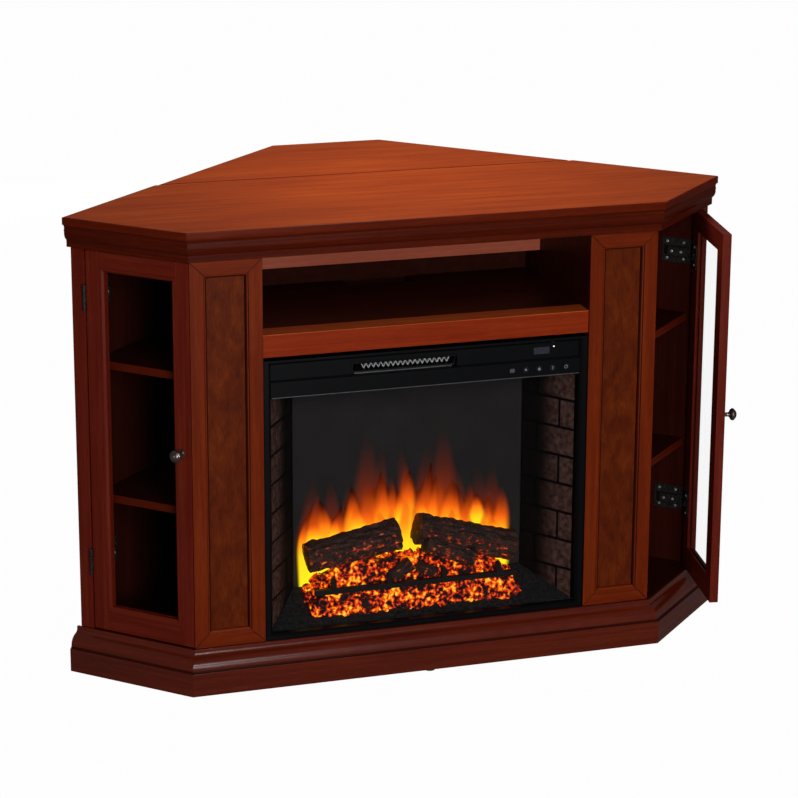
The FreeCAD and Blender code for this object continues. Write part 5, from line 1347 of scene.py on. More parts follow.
@dataclass
class Hardware:
    """Screw heads on the hinges and back panel, and the rows of pin holes in the partitions."""

    plan: Plan
    doors: Sequence[GlazedDoor]
    hinge_heights: tuple[float, float] = (206.0, 680.0)
    plate_face: float = 207.363
    plate_depths: tuple[float, float] = (34.0, 66.0)
    plate_half: float = 15.5
    arm_top: float = 196.363
    arm_depths: tuple[float, float] = (35.0, 53.0)
    flange_place: tuple[float, float] = (188.9, 17.1)
    flange_half: float = 17.0
    screw_radius: float = 2.7
    screw_height: float = 1.1
    slot_half: tuple[float, float] = (1.9, 0.45)
    slot_heights: tuple[float, float] = (1.02, 1.12)
    back_face: float = 349.0
    back_screw_xs: tuple[float, ...] = (-400.0, -267.0, -133.0, 0.0, 133.0, 267.0, 400.0)
    back_screw_zs: tuple[float, float] = (72.0, 795.0)
    hole_radius: float = 2.5
    hole_film: float = 0.12
    hole_pitch: float = 32.0
    hole_start: float = 190.0
    hole_count: int = 15
    hole_rows: tuple[float, float] = (79.0, 299.0)

    def head(self, name: str, finish: Finish) -> bpy.types.Object:
        """Makes one domed screw head with a cross slot for the repeats, kept out of the scene.

        Args:
            name: Name of the object.
            finish: Finish of the head.

        Returns:
            The head's object.
        """
        radius, high = self.screw_radius, self.screw_height
        work = Work(name)
        dome = [(POLE, 0), (radius, 0), (radius, 0.3), (radius * 0.8, 0.8), (radius * 0.4, 1.05),
                (POLE, high)]
        work.turned(dome, IDENTITY, SMALL_SIDES)
        (long, wide), (low, top) = self.slot_half, self.slot_heights
        for turn in (0, 90):
            arm = Matrix.Rotation(math.radians(turn), 4, "Z")
            work.box((-long, -wide, low), (long, wide, top), ease=0.0, place=arm)
        return work.spare(finish)

    def build(self) -> None:
        """Sets out the screws and the pin holes."""
        self.back_screws()
        bright = self.head("bright_screw_head", SCREW)
        self.arm_screws(bright)
        for door in self.doors:
            self.flange_screws(bright, door)
        self.pin_holes()

    def back_screws(self) -> None:
        """Sets out the screws along the upper and lower edges of the back panel."""
        screws = Repeats("back_panel_screws")
        for x in self.back_screw_xs:
            for z in self.back_screw_zs:
                screws.spots.append((Vector((x, self.back_face, z)), Vector((0, 1, 0))))
        screws.build(self.head("screw_head", HINGE), HINGE, "cabinet")

    def arm_screws(self, head: bpy.types.Object) -> None:
        """Sets out the screws on the hinge arms and their plates.

        Args:
            head: Screw head to repeat.
        """
        screws = Repeats("hinge_arm_screws")
        for hand in Hand:
            place = hand.flip @ self.plan.side_frame
            out = place.to_3x3() @ Vector((-1, 0, 0))
            for height in self.hinge_heights:
                heads = [(self.arm_top, depth, height) for depth in self.arm_depths]
                heads += [(self.plate_face, depth, height + rise) for depth in self.plate_depths
                          for rise in (-self.plate_half, self.plate_half)]
                screws.spots.extend((place @ Vector(spot), out) for spot in heads)
        screws.build(head, SCREW, "cabinet")

    def flange_screws(self, head: bpy.types.Object, door: GlazedDoor) -> None:
        """Sets out the screws on the flanges of one door's hinge cups.

        Args:
            head: Screw head to repeat.
            door: Door that carries the cups.
        """
        side = door.hand.value
        screws = Repeats(f"{side}_flange_screws")
        out = door.place.to_3x3() @ Vector((0, 1, 0))
        for height in self.hinge_heights:
            for rise in (-self.flange_half, self.flange_half):
                screws.spots.append((door.place @ Vector((*self.flange_place, height + rise)), out))
        screws.build(head, SCREW, f"{side}_door")

    def pin_holes(self) -> None:
        """Sets out thin dark discs up both partitions: painted shade in the mouths of the shelf-pin holes."""
        ring = Work("pin_hole")
        wide, thick = self.hole_radius, self.hole_film
        ring.turned([(POLE, 0), (wide, 0), (wide, thick), (POLE, thick)], IDENTITY, SMALL_SIDES)
        hole_shade_disc = ring.spare(RUBBER)
        holes = Repeats("pin_hole_rows")
        side = self.plan.opening_half + self.plan.board
        for hand in (-1, 1):
            for y in self.hole_rows:
                for step in range(self.hole_count):
                    spot = Vector((hand * side, y, self.hole_start + step * self.hole_pitch))
                    holes.spots.append((spot, Vector((hand, 0, 0))))
        holes.build(hole_shade_disc, RUBBER, "cabinet")


@dataclass
class FireFront:
    """Signs on the keys, fins of the heater's outlet, the header's lip and the indicator lamp."""

    key_xs: tuple[float, ...] = (154.0, 179.0, 204.0, 229.0, 254.0)
    key_z: float = 530.6
    key_face: float = 20.2
    sign_scale: float = 1.15
    proud: float = 0.12
    lamp_place: tuple[float, float] = (232.0, 568.0)
    lamp_face: float = 25.0
    lamp_sides: int = 16
    outlet: tuple[float, float, float, float] = (-133.6, 53.4, 545.5, 565.5)
    lip: tuple[float, float, float, float] = (-278.0, 278.0, 516.6, 518.0)
    lip_depth: tuple[float, float] = (19.4, 22.0)
    lip_round: float = 0.5
    fold: float = 4.4
    fold_half: float = 0.55
    fold_drops: tuple[float, float] = (10.5, 1.5)
    fold_margins: tuple[float, float] = (16.0, 10.0)
    fin_depth: tuple[float, float] = (29.0, 35.0)
    tooth_pitch: float = 3.2
    tooth: tuple[float, float] = (1.0, 1.5)
    tooth_heights: tuple[float, float] = (1.2, 2.2)
    tooth_margins: tuple[float, float] = (5.0, 3.0)
    arc_steps: int = 14

    def build(self) -> None:
        """Prints the signs and adds the outlet's fins, the lip and the lamp."""
        self.signs()
        self.fins()
        self.teeth()
        left, right, low, high = self.lip
        # Painted highlight: a grey strip stands for the light caught along the header's lower edge.
        lip = Work("header_lip")
        lip.box((left, self.lip_depth[0], low), (right, self.lip_depth[1], high), ease=self.lip_round)
        lip.piece(LIP, "cabinet")
        lamp = Work("indicator_dome")
        spot = Matrix.Translation((self.lamp_place[0], self.lamp_face, self.lamp_place[1]))
        dome = [(POLE, 0), (1.3, 0), (1.2, 0.5), (0.7, 0.9), (POLE, 1.0)]
        lamp.turned(dome, spot @ FORWARD, self.lamp_sides)
        lamp.piece(LAMP, "cabinet")

    def signs(self) -> None:
        """Prints each sign as a thin film on its key."""
        for sign, x in zip(Sign, self.key_xs):
            work = Work(f"key_sign_{sign.value}")
            for stroke in self.strokes(sign):
                ring = [(x + self.sign_scale * a, self.key_z + self.sign_scale * b) for a, b in stroke]
                depths = (self.key_face - self.proud, self.key_face)
                work.skin([[(a, depth, b) for a, b in ring] for depth in depths], Axis.ACROSS.vector, 0.0)
            work.piece(PRINT, f"control_key_{sign.value}")

    def fins(self) -> None:
        """Folds the bright fin behind the outlet, one slanting leaf after another."""
        left, right, _, high = self.outlet
        half, fold = self.fold_half, self.fold
        valley, crest = [high - drop for drop in self.fold_drops]
        work = Work("outlet_fin")
        for number in range(int((right - left - sum(self.fold_margins)) / fold)):
            x = left + self.fold_margins[0] + number * fold
            foot, head = (valley, crest) if number % 2 else (crest, valley)
            plan = [(x - half, foot), (x + half, foot), (x + fold + half, head), (x + fold - half, head)]
            work.prism(plan, -self.fin_depth[1], -self.fin_depth[0], Axis.ACROSS, 0.0, FORWARD)
        work.piece(FINS, "cabinet")

    def teeth(self) -> None:
        """Sets the row of bright teeth along the foot of the outlet."""
        left, right, floor, _ = self.outlet
        front, (wide, deep) = self.fin_depth[0], self.tooth
        low, high = [floor + rise for rise in self.tooth_heights]
        work = Work("outlet_teeth")
        for number in range(int((right - left - sum(self.tooth_margins)) / self.tooth_pitch)):
            x = left + self.tooth_margins[0] + number * self.tooth_pitch
            work.box((x, front, low), (x + wide, front + deep, high), ease=0.0)
        work.piece(FINS, "cabinet")

    def strokes(self, sign: Sign) -> list[list[tuple[float, float]]]:
        """Outlines of one sign, about its key's middle.

        Args:
            sign: The sign.

        Returns:
            Closed outlines in millimetres.
        """
        def bar(x0: float, z0: float, x1: float, z1: float) -> list[tuple[float, float]]:
            """A square stroke."""
            return [(x0, z0), (x1, z0), (x1, z1), (x0, z1)]

        def arc(radius: float, start: float, end: float, width: float = 0.7) -> list[tuple[float, float]]:
            """A curved stroke about the middle, angles from the right.

            Args:
                radius: Outer radius.
                start: First angle in degrees.
                end: Last angle in degrees.
                width: Width of the stroke.

            Returns:
                The stroke's outline.
            """
            steps = self.arc_steps
            turn = [math.radians(start + (end - start) * k / steps) for k in range(steps + 1)]
            outer = [(radius * math.cos(a), radius * math.sin(a)) for a in turn]
            inner = [((radius - width) * math.cos(a), (radius - width) * math.sin(a)) for a in reversed(turn)]
            return outer + inner

        if sign is Sign.HEAT:
            waves = [bar(-1.8 + k * 1.6, -1.2, -1.3 + k * 1.6, 1.2) for k in range(3)]
            return waves + [bar(-3.2, -2.2, 3.2, -1.6), bar(-3.2, 1.6, 3.2, 2.2), bar(-3.2, -1.6, -2.6, 1.6),
                            bar(2.6, -1.6, 3.2, 1.6)]
        if sign is Sign.DIM:
            return [arc(1.8, 0, 359, 1.7)]
        if sign is Sign.FLAME:
            return [[(-1.6, -2.6), (1.6, -2.6), (2.4, -0.8), (1.5, 1.2), (1.0, 0.2), (0.2, 3.0), (-0.9, 0.6),
                     (-1.5, 1.4), (-2.4, -0.8)]]
        if sign is Sign.TIMER:
            return [bar(-0.4, -2.4, 0.4, 2.4), bar(-1.5, 1.8, 1.5, 2.4), bar(-1.5, -2.4, 1.5, -1.8)]
        return [arc(2.8, 125, 415), bar(-0.35, 0.6, 0.35, 3.4)]


@dataclass(frozen=True)
class FlameRank:
    """One rank of flame tongues: count, coolness of the foot, width, and height at its ends and crown."""

    count: int
    cool: float
    wide: float
    low: float
    more: float


@dataclass
class FireChamber:
    """Brick walls, ember bed, logs and the light of the flames. Sizes are millimetres."""

    wall_start: tuple[float, float] = (277.0, 39.0)
    wall_end: tuple[float, float] = (214.0, 131.0)
    floor: float = 90.0
    ceiling: float = 511.0
    courses: int = 8
    joint: float = 5.0
    proud: float = 2.0
    thick: float = 8.0
    joints: tuple[float, float] = (0.28, 0.72)
    brick_jog: float = 0.5
    brick_round: float = 1.6
    bank_rise: float = 40.0
    depth: tuple[float, float] = (39.0, 130.5)
    ash_grid: tuple[int, int] = (230, 44)
    ash_margins: tuple[float, float] = (1.2, 0.5)
    ash_cover: float = 0.4
    grit_level: float = 1.2
    grit: tuple[tuple[float, float], ...] = ((1.0, 0.35), (1.1, 0.12), (0.7, 0.8))
    shift: float = -6.0
    ledge: tuple[float, float, float] = (188.0, 55.0, 138.0)
    heap: tuple[float, float, float, float] = (186.0, 73.0, 180.0, 128.0)
    bed_grid: tuple[int, int] = (90, 46)
    heap_run: float = 22.0
    crest_share: float = 0.62
    edge_share: float = 0.94
    edge_fall: float = 0.8
    front_run: float = 7.0
    front_least: float = 0.1
    bed_rough: tuple[tuple[float, float, float], ...] = ((3.0, 0.05, 0.0), (1.5, 0.16, 9.0))
    coal_cover: float = 4.0
    bed_clear: tuple[float, float] = (0.2, 0.6)
    coal_radius: float = 9.5
    coal_flat: float = 0.72
    coal_rough: tuple[tuple[float, float], ...] = ((0.55, 170.0), (0.2, 420.0))
    coal_sizes: tuple[float, float] = (0.5, 1.15)
    coal_density: float = 5200.0
    coal_seed: int = 4
    axis_rounds: int = 12
    girth_share: float = 0.98
    bark_sides: int = 64
    bark_step: float = 2.2
    bark_least: int = 24
    cap_rings: int = 3
    cap_fall: float = 0.3
    bark_drift: tuple[float, float, float] = (31.7, 17.3, 5.0)
    bark_pitch: tuple[float, float] = (2.6, 0.018)
    ridge_depths: tuple[float, float] = (0.26, 0.08)
    crack_pitch: float = 2.7
    chip_depth: float = 0.10
    chip_pitch: tuple[float, float] = (2.0, 0.09)
    bark_full: float = 1.06
    flame_span: tuple[float, float] = (-197.0, 184.0)
    flame_depth: float = 129.0
    flame_lift: float = 2.0
    flame_seed: int = 11
    rank_gap: float = 1.4
    tongue_gap: float = 0.3
    heart_gap: float = 5.2
    tongue_steps: int = 16
    tongue_stray: float = 5.0
    tongue_widths: tuple[float, float] = (0.75, 1.25)
    tongue_heights: tuple[float, float] = (0.8, 1.14)
    tongue_sway: float = 8.0
    tongue_wave: tuple[float, float] = (4.5, 6.0)
    tongue_form: tuple[float, float] = (0.28, 0.85)
    tongue_bulge: float = 0.5
    tongue_spread: tuple[float, ...] = (-1.0, -0.5, 0.0, 0.5, 1.0)
    ranks: tuple[FlameRank, ...] = (
        FlameRank(11, 0.7, 58.0, 176.0, 100.0), FlameRank(19, 0.34, 50.0, 140.0, 62.0),
        FlameRank(15, 0.0, 46.0, 122.0, 60.0), FlameRank(9, -0.7, 56.0, 106.0, 58.0))
    hearts: tuple[tuple[float, float, float], ...] = (
        (-197.0, 26.0, 132.0), (-34.0, 40.0, 138.0), (-12.0, 44.0, 156.0), (10.0, 40.0, 136.0),
        (112.0, 36.0, 124.0), (140.0, 28.0, 118.0))

    def build(self) -> None:
        """Builds and dresses everything behind the fire's glass."""
        self.bricks()
        self.ash()
        self.embers()
        self.logs()
        self.flames()

    def bricks(self) -> None:
        """Lays rough bricks on a dark backing on both splayed walls."""
        start, end = Vector((*self.wall_start, 0)), Vector((*self.wall_end, 0))
        way, length = (end - start).normalized(), (end - start).length
        basis = Matrix.Translation(start) @ Matrix.Rotation(math.atan2(way.y, way.x), 4, "Z")
        walls, backing = Work("brick_courses"), Work("brick_backing")
        pitch = (self.ceiling - self.floor) / self.courses
        half = self.joint / 2
        for hand in Hand:
            place = hand.flip @ basis
            backing.box((0, -self.thick, self.floor), (length, -self.proud, self.ceiling), ease=0.0,
                        place=place)
            for row in range(self.courses):
                split = self.joints[row % 2] * length
                for left, right in ((0.0, split - half), (split + half, length)):
                    low = self.floor + row * pitch + (half if row else 0)
                    high = self.floor + (row + 1) * pitch - (half if row < self.courses - 1 else 0)
                    jog = walls.chance.uniform(-self.brick_jog, 0.0)
                    walls.box((left, -self.proud - self.brick_jog, low), (right, jog, high), Axis.ACROSS,
                              self.brick_round, place)
        walls.piece(BRICK, "cabinet", "brick_panels")
        backing.piece(MORTAR, "cabinet")

    def lump(self) -> bpy.types.Object:
        """Makes one rough coal for the bed, kept out of the scene.

        Returns:
            The coal's object.
        """
        part = bmesh.new()
        bmesh.ops.create_icosphere(part, subdivisions=2, radius=self.coal_radius * MM)
        for vert in part.verts:
            vert.co *= sum((share * noise.noise(vert.co * scale) for share, scale in self.coal_rough), 1.0)
            vert.co.z *= self.coal_flat
        data = mesh_of(part, "coal_lump", COALS)
        data.shade_smooth()
        return bpy.data.objects.new("coal_lump", data)

    def bank(self, y: float) -> float:
        """Height of the ash floor at a depth."""
        front, back = self.depth
        return self.floor + self.bank_rise * (y - front) / (back - front)

    def mound(self, name: str, rows: Sequence[Sequence[Point]], finish: Finish) -> bpy.types.Object:
        """Closes a rough sheet down to just over the ash floor.

        Args:
            name: Name of the object.
            rows: Points of the sheet, row by row from the front.
            finish: What it is made of.

        Returns:
            The object, linked to the scene.
        """
        part = bmesh.new()
        tops = [[part.verts.new(spot) for spot in row] for row in rows]
        under = self.bed_clear[0]
        feet = [[part.verts.new((x, y, self.bank(y) + under)) for x, y, _ in row] for row in rows]
        last, side = len(rows) - 1, len(rows[0]) - 1
        for j in range(last):
            for i in range(side):
                part.faces.new((tops[j][i], tops[j][i + 1], tops[j + 1][i + 1], tops[j + 1][i]))
                part.faces.new((feet[j][i], feet[j + 1][i], feet[j + 1][i + 1], feet[j][i + 1]))
            for i in (0, side):
                part.faces.new((tops[j][i], tops[j + 1][i], feet[j + 1][i], feet[j][i]))
        for j in (0, last):
            for i in range(side):
                part.faces.new((tops[j][i], feet[j][i], feet[j][i + 1], tops[j][i + 1]))
        bmesh.ops.recalc_face_normals(part, faces=part.faces)
        part.transform(Matrix.Scale(MM, 4))
        data = mesh_of(part, name, finish)
        data.shade_smooth()
        return stand(name, data)

    def bed(self) -> list[list[Point]]:
        """Works out the sheet of the ember bed: a front ledge and a heap behind it.

        Returns:
            Rows of points, from the front to the back.
        """
        (columns, stations), (half, front, _) = self.bed_grid, self.ledge
        back = self.heap[3]
        rows = []
        for j in range(stations + 1):
            y = front + (back - front) * j / stations
            shares = [2 * i / columns - 1 for i in range(columns + 1)]
            rows.append([(share * half + self.shift, y, self.bed_top(share, y)) for share in shares])
        return rows

    def bed_top(self, share: float, y: float) -> float:
        """Works out the height of the ember bed at a place.

        Args:
            share: Place across the bed, from -1 to 1.
            y: Depth.

        Returns:
            Height of the bed.
        """
        half, front, ledge_top = self.ledge
        heap_half, heap_front, heap_top, _ = self.heap
        x, low = share * half, self.bank(y)
        swell = max(0.0, min(1.0, (y - heap_front) / self.heap_run))
        crest = max(0.0, 1 - max(0.0, abs(x) / heap_half - self.crest_share) / (1 - self.crest_share))
        fall = max(0.0, abs(share) - self.edge_share) / (1 - self.edge_share) * self.edge_fall
        edge = max(0.0, 1 - fall) * min(1.0, (y - front) / self.front_run + self.front_least)
        top = ledge_top + (heap_top - ledge_top) * swell * crest - self.coal_cover
        rough = sum(rise * noise.noise(Vector((x, y, z)) * scale) for rise, scale, z in self.bed_rough)
        return max(low + self.bed_clear[1], low + (top - low) * edge + rough)

    def ash(self) -> None:
        """Spreads a granular ash bank over the tray, from the glass up to the screen."""
        columns, stations = self.ash_grid
        side, end = self.ash_margins
        front, back = self.depth
        rows = []
        for j in range(stations + 1):
            t = j / stations
            y = front + end + (back - front - 2 * end) * t
            half = self.wall_start[0] + (self.wall_end[0] - self.wall_start[0]) * t - side
            row = []
            for i in range(columns + 1):
                x = half * (2 * i / columns - 1)
                spot = Vector((x, y, 3.0))
                grit = sum((share * noise.noise(spot * scale) for share, scale in self.grit), self.grit_level)
                row.append((x, y, self.bank(y) + self.ash_cover + max(0.0, grit)))
            rows.append(row)
        settle(self.mound("ash_bank", rows, ASH), "cabinet")

    def scatter(self) -> bpy.types.NodeTree:
        """Makes the node group that scatters coals over the bed.

        Returns:
            The node group, with inputs named Bed, Part, Density and Seed.
        """
        tree = node_group("coal_scatter", "Bed", Part="Object", Density="Float", Seed="Int")
        given = add(tree, "NodeGroupInput").outputs
        inputs = {"Mesh": given["Bed"], "Density": given["Density"], "Seed": given["Seed"]}
        spots = add(tree, "GeometryNodeDistributePointsOnFaces", inputs)
        part = add(tree, "GeometryNodeObjectInfo", {"Object": given["Part"]})
        turn = add(tree, "FunctionNodeRandomValue", {0: (0, 0, 0), 1: (math.tau,) * 3, "Seed": given["Seed"]},
                   data_type="FLOAT_VECTOR")
        least, most = self.coal_sizes
        size = add(tree, "FunctionNodeRandomValue", {2: least, 3: most, "Seed": given["Seed"]},
                   data_type="FLOAT")
        laid = add(tree, "GeometryNodeInstanceOnPoints",
                   {"Points": spots.outputs["Points"], "Instance": part.outputs["Geometry"],
                    "Rotation": turn.outputs[0], "Scale": size.outputs[1]})
        real = add(tree, "GeometryNodeRealizeInstances", {"Geometry": laid.outputs[0]})
        inputs = {"Geometry": real.outputs[0], "Material": COALS.material()}
        dressed = add(tree, "GeometryNodeSetMaterial", inputs)
        joined = add(tree, "GeometryNodeJoinGeometry", {0: dressed.outputs[0]})
        tree.links.new(given["Bed"], joined.inputs[0])
        add(tree, "NodeGroupOutput", {"Bed": joined.outputs[0]})
        return tree

    def embers(self) -> None:
        """Scatters lit coals over the bed."""
        made = self.mound("coal_bed", self.bed(), COALS)
        plain(made, self.scatter(), Part=self.lump(), Density=self.coal_density, Seed=self.coal_seed)
        settle(made, "cabinet", ["ember_bed"])

    def cores(self, node: bpy.types.Object) -> list[tuple[Vector, Vector, float]]:
        """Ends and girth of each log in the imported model, largest first.

        Args:
            node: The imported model's set of logs.

        Returns:
            Both ends and the girth of each log, in metres.
        """
        part = bmesh.new()
        part.from_mesh(node.data)
        bmesh.ops.remove_doubles(part, verts=part.verts, dist=1e-6)
        left, found = set(part.verts), []
        while left:
            island, edge = set(), [left.pop()]
            while edge:
                vert = edge.pop()
                island.add(vert)
                near = [e.other_vert(vert) for e in vert.link_edges]
                edge += [v for v in near if v in left]
                left -= set(near)
            spots = [v.co.copy() for v in island]
            middle = sum(spots, Vector()) / len(spots)
            far = max(spots, key=lambda p: (p - middle).length)
            way = (far - middle).normalized()
            for _ in range(self.axis_rounds):
                way = sum(((p - middle) * (p - middle).dot(way) for p in spots), Vector()).normalized()
            spans = [(p - middle).dot(way) for p in spots]
            girth = max(((p - middle) - way * (p - middle).dot(way)).length for p in spots)
            found.append((middle + way * min(spans), middle + way * max(spans), girth))
        part.free()
        return sorted(found, key=lambda log: -(log[1] - log[0]).length)

    def logs(self) -> None:
        """Rebuilds each log with ridged bark, knots and a rough cut end."""
        work = Work("bark_logs")
        for number, (start, end, girth) in enumerate(self.cores(bpy.data.objects["log_set"])):
            self.bark(work, start / MM, end / MM, girth / MM * self.girth_share, number)
        work.piece(BARK, "cabinet", "log_set")

    def bark(self, work: Work, start: Vector, end: Vector, girth: float, number: int) -> None:
        """Adds one log between two points.

        Args:
            work: Work that takes the log.
            start: One end.
            end: Other end.
            girth: Radius of the log.
            number: Place in the set, which shifts the bark.
        """
        way, length = (end - start).normalized(), (end - start).length
        side = way.cross(Vector((0, 1, 0))).normalized()
        up = side.cross(way)
        along = max(self.bark_least, int(length / self.bark_step))
        drift = Vector((number * self.bark_drift[0], number * self.bark_drift[1], self.bark_drift[2]))
        (round_log, down_log), (round_chip, down_chip) = self.bark_pitch, self.chip_pitch
        ridges, cracks = self.ridge_depths
        rings = []
        for i in range(-self.cap_rings, along + self.cap_rings + 1):
            t = min(max(i / along, 0.0), 1.0)
            cap = 1 - self.cap_fall * max(-i, i - along, 0)
            ring = []
            for k in range(self.bark_sides):
                angle = math.tau * k / self.bark_sides
                across, rise = math.cos(angle), math.sin(angle)
                spot = Vector((across * round_log, rise * round_log, t * length * down_log)) + drift
                ridge = abs(noise.noise(spot)) * ridges + cracks * noise.noise(spot * self.crack_pitch)
                place = Vector((angle * round_chip, t * length * down_chip, number))
                radius = girth * (self.bark_full - ridge + self.chip_depth * noise.noise(place)) * cap
                ring.append(start + way * (t * length) + side * (across * radius) + up * (rise * radius))
            rings.append(ring)
        work.skin(rings, way, 0.0)

    def flames(self) -> None:
        """Stands ranks of light tongues just in front of the screen: faint tips, body and hot hearts."""
        chance = random.Random(self.flame_seed)
        part = bmesh.new()
        part.loops.layers.uv.new(GRAIN)
        left, right = self.flame_span
        foot = self.floor + self.bank_rise + self.flame_lift
        for level, rank in enumerate(self.ranks):
            for number in range(rank.count):
                share = (number + 0.5) / rank.count
                x = left + (right - left) * share + chance.uniform(-self.tongue_stray, self.tongue_stray)
                y = self.flame_depth - self.rank_gap * level - self.tongue_gap * (number % 3)
                tall = rank.low + rank.more * math.sin(math.pi * share)
                wide = rank.wide * chance.uniform(*self.tongue_widths)
                size = (wide, tall * chance.uniform(*self.tongue_heights))
                self.tongue(part, Vector((x, y, foot)), size, rank.cool, chance)
        for x, wide, tall in self.hearts:
            self.tongue(part, Vector((x, self.flame_depth - self.heart_gap, foot)), (wide, tall), 0.0, chance)
        part.transform(Matrix.Scale(MM, 4))
        data = mesh_of(part, "flame_tongues", FLAME)
        data.shade_smooth()
        settle(stand("flame_tongues", data), "cabinet")

    def tongue(self, part: bmesh.types.BMesh, foot: Vector, size: tuple[float, float], cool: float,
               chance: random.Random) -> None:
        """Adds one swaying blade whose map runs from its coolness at the foot to one at the tip.

        Args:
            part: Faces being gathered.
            foot: Middle of the tongue's foot.
            size: Width and height.
            cool: Place in the flame's colours where the foot starts.
            chance: Random source.
        """
        layer = part.loops.layers.uv.verify()
        steps, spread = self.tongue_steps, self.tongue_spread
        (wave, turns), (start, power) = self.tongue_wave, self.tongue_form
        sway, phase = chance.uniform(-self.tongue_sway, self.tongue_sway), chance.uniform(0, math.tau)
        grid = []
        for i in range(steps + 1):
            t = i / steps
            middle = foot.x + sway * t * t + wave * t * math.sin(phase + turns * t)
            half = size[0] / 2 * math.sin(math.pi * (start + (1 - start) * t)) ** power
            grid.append([part.verts.new((middle + half * c, foot.y - self.tongue_bulge * (1 - c * c),
                                         foot.z + size[1] * t)) for c in spread])
        for i in range(steps):
            for k in range(len(spread) - 1):
                corners = ((i, k), (i, k + 1), (i + 1, k + 1), (i + 1, k))
                face = part.faces.new([grid[a][b] for a, b in corners])
                for loop, (a, b) in zip(face.loops, corners):
                    loop[layer].uv = (b / (len(spread) - 1), cool + (1 - cool) * a / steps)


@dataclass(frozen=True)
class Softbox:
    """One soft lamp: its place, what it points at and its size in metres, and its power in watts."""

    name: str
    place: tuple[float, float, float]
    aim: tuple[float, float, float]
    size: tuple[float, float]
    power: float

    def hang(self) -> None:
        """Hangs the lamp and points it."""
        data = bpy.data.lights.new(self.name, "AREA")
        data.shape, data.energy = "RECTANGLE", self.power
        data.size, data.size_y = self.size
        made = stand(self.name, data)
        made.location = self.place
        made.rotation_euler = (Vector(self.aim) - Vector(self.place)).to_track_quat("-Z", "Y").to_euler()
        made.visible_camera = False


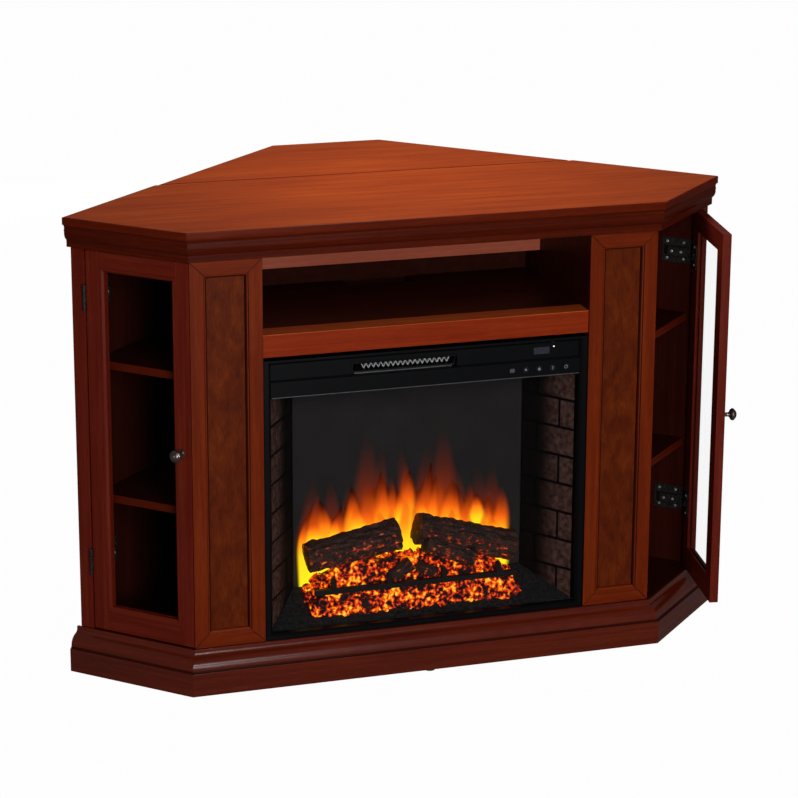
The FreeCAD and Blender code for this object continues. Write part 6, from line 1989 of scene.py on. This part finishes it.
@dataclass
class Studio:
    """White floor and background, soft lamps and the photograph's camera."""

    camera_place: tuple[float, float, float] = (-1396.57, -4269.42, 1854.62)
    yaw: float = 0.3103
    pitch: float = 0.2752
    roll: float = 0.0064
    lens: float = 123.055
    shift: tuple[float, float] = (-0.02213, -0.06148)
    sensor: float = 36.0
    floor_size: float = 60.0
    floor_mirror: float = 0.04
    floor_clear: float = 0.97
    floor_glow: float = 0.985
    ambient: float = 0.07
    rear_start: float = 0.35
    world_mirror: tuple[float, float] = (0.02, 0.05)
    softboxes: tuple[Softbox, ...] = (
        Softbox("overhead_softbox", (0.08, 0.34, 1.62), (0.04, 0.3, 0.8), (0.4, 0.36), 7.4),
        Softbox("front_softbox", (-0.3, -3.8, 0.72), (-0.1, 0.1, 0.6), (1.2, 0.8), 42.0),
        Softbox("high_softbox", (-0.1, -3.3, 2.1), (0.0, 0.1, 0.5), (1.0, 0.8), 26.0),
        Softbox("rear_softbox", (0.4, 4.2, 0.42), (0.0, 0.4, 0.42), (1.8, 0.6), 64.0),
        Softbox("left_softbox", (-3.3, -2.5, 1.0), (-0.2, 0.1, 0.5), (1.0, 1.4), 9.0),
        Softbox("right_softbox", (3.6, -1.6, 1.6), (0.0, 0.1, 0.45), (1.2, 2.2), 8.0))

    def build(self) -> None:
        """Sets up the floor, world, lamps and camera."""
        self.floor()
        self.world()
        for softbox in self.softboxes:
            softbox.hang()
        self.camera()

    def seen(self, tree: bpy.types.NodeTree, glossy: Value, clear: Value) -> bpy.types.NodeSocket:
        """Adds a share that is one to the eye, and less in reflections and through glass.

        Args:
            tree: Node tree that takes the nodes.
            glossy: Share in reflections.
            clear: Share through glass.

        Returns:
            Socket with the share.
        """
        path = add(tree, "ShaderNodeLightPath").outputs
        mirror = add(tree, "ShaderNodeMath", {0: path["Is Glossy Ray"], 1: glossy}, operation="MULTIPLY")
        glass = add(tree, "ShaderNodeMath", {0: path["Is Transmission Ray"], 1: clear}, operation="MULTIPLY")
        either = add(tree, "ShaderNodeMath", {0: mirror.outputs[0], 1: glass.outputs[0]}, operation="MAXIMUM")
        whole = {0: path["Is Camera Ray"], 1: either.outputs[0]}
        return add(tree, "ShaderNodeMath", whole, operation="MAXIMUM").outputs[0]

    def floor(self) -> None:
        """Lays a pale floor that keeps a faint shadow."""
        material = bpy.data.materials.new("white_studio_floor")
        material.use_nodes = True
        tree = material.node_tree
        tree.nodes.clear()
        glow = add(tree, "ShaderNodeEmission", {"Color": linear("#ffffff"), "Strength": 1.0})
        matte = add(tree, "ShaderNodeBsdfDiffuse", {"Color": linear("#828282")})
        seen = self.seen(tree, self.floor_mirror, self.floor_clear)
        share = add(tree, "ShaderNodeMath", {0: seen, 1: self.floor_glow}, operation="MULTIPLY")
        inputs = {0: share.outputs[0], 1: matte.outputs[0], 2: glow.outputs[0]}
        mixed = add(tree, "ShaderNodeMixShader", inputs)
        add(tree, "ShaderNodeOutputMaterial", {"Surface": mixed.outputs[0]})
        half = self.floor_size / 2
        data = bpy.data.meshes.new("studio_floor")
        corners = [(-half, -half, 0), (half, -half, 0), (half, half, 0), (-half, half, 0)]
        data.from_pydata(corners, [], [(0, 1, 2, 3)])
        data.materials.append(material)
        stand("studio_floor", data)

    def world(self) -> None:
        """Lights evenly and weakly, and shows white to the eye and in reflections."""
        world = bpy.data.worlds.new("white_studio")
        world.use_nodes = True
        tree = world.node_tree
        tree.nodes.clear()
        way = add(tree, "ShaderNodeSeparateXYZ", {0: add(tree, "ShaderNodeTexCoord").outputs["Generated"]})
        rear = {"Value": way.outputs["Y"], "From Min": 0.0, "From Max": self.rear_start}
        least, most = self.world_mirror
        behind = add(tree, "ShaderNodeMapRange", {**rear, "To Min": least, "To Max": most})
        through = add(tree, "ShaderNodeMapRange", rear)
        seen = self.seen(tree, behind.outputs[0], through.outputs[0])
        level = {"Value": seen, "To Min": self.ambient, "To Max": 1.0}
        strength = add(tree, "ShaderNodeMapRange", level).outputs[0]
        light = add(tree, "ShaderNodeBackground", {"Color": linear("#ffffff"), "Strength": strength})
        add(tree, "ShaderNodeOutputWorld", {"Surface": light.outputs[0]})
        bpy.context.scene.world = world

    def camera(self) -> None:
        """Sets the camera where the photograph was taken from."""
        ahead = Vector((math.sin(self.yaw) * math.cos(self.pitch), math.cos(self.yaw) * math.cos(self.pitch),
                        -math.sin(self.pitch)))
        right = Vector((math.cos(self.yaw), -math.sin(self.yaw), 0))
        up = right.cross(ahead)
        lean = math.cos(self.roll) * right + math.sin(self.roll) * up
        head = math.cos(self.roll) * up - math.sin(self.roll) * right
        data = bpy.data.cameras.new("photo_camera")
        data.sensor_width, data.lens = self.sensor, self.lens
        data.shift_x, data.shift_y = self.shift
        data.dof.use_dof = False
        made = stand("photo_camera", data)
        made.matrix_world = (Matrix.Translation(Vector(self.camera_place) * MM)
                             @ Matrix((lean, head, -ahead)).transposed().to_4x4())
        bpy.context.scene.camera = made
        bpy.context.scene.view_settings.view_transform = "Standard"


def dress(nodes: dict[str, bpy.types.Object]) -> None:
    """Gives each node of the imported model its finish.

    Args:
        nodes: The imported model's nodes by name.
    """
    for finish, names in CAD_FINISHES.items():
        for name in names:
            slots = nodes[name].data.materials
            slots.clear()
            slots.append(finish.material())


def clear() -> None:
    """Empties the starting scene."""
    for made in list(bpy.data.objects):
        bpy.data.objects.remove(made)


def main() -> None:
    """Builds the stand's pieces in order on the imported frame."""
    logging.basicConfig(level=logging.INFO)
    clear()
    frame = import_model()
    dress(frame["nodes"])
    plan = Plan()
    Studio().build()
    Casework(plan).build()
    doors = [GlazedDoor(plan, Hand.LEFT), GlazedDoor(plan, Hand.RIGHT, ajar=36.0)]
    for door in doors:
        door.build()
    RearLeaf(plan).build()
    Hardware(plan, doors).build()
    FireFront().build()
    FireChamber().build()


if __name__ == "__main__":
    main()
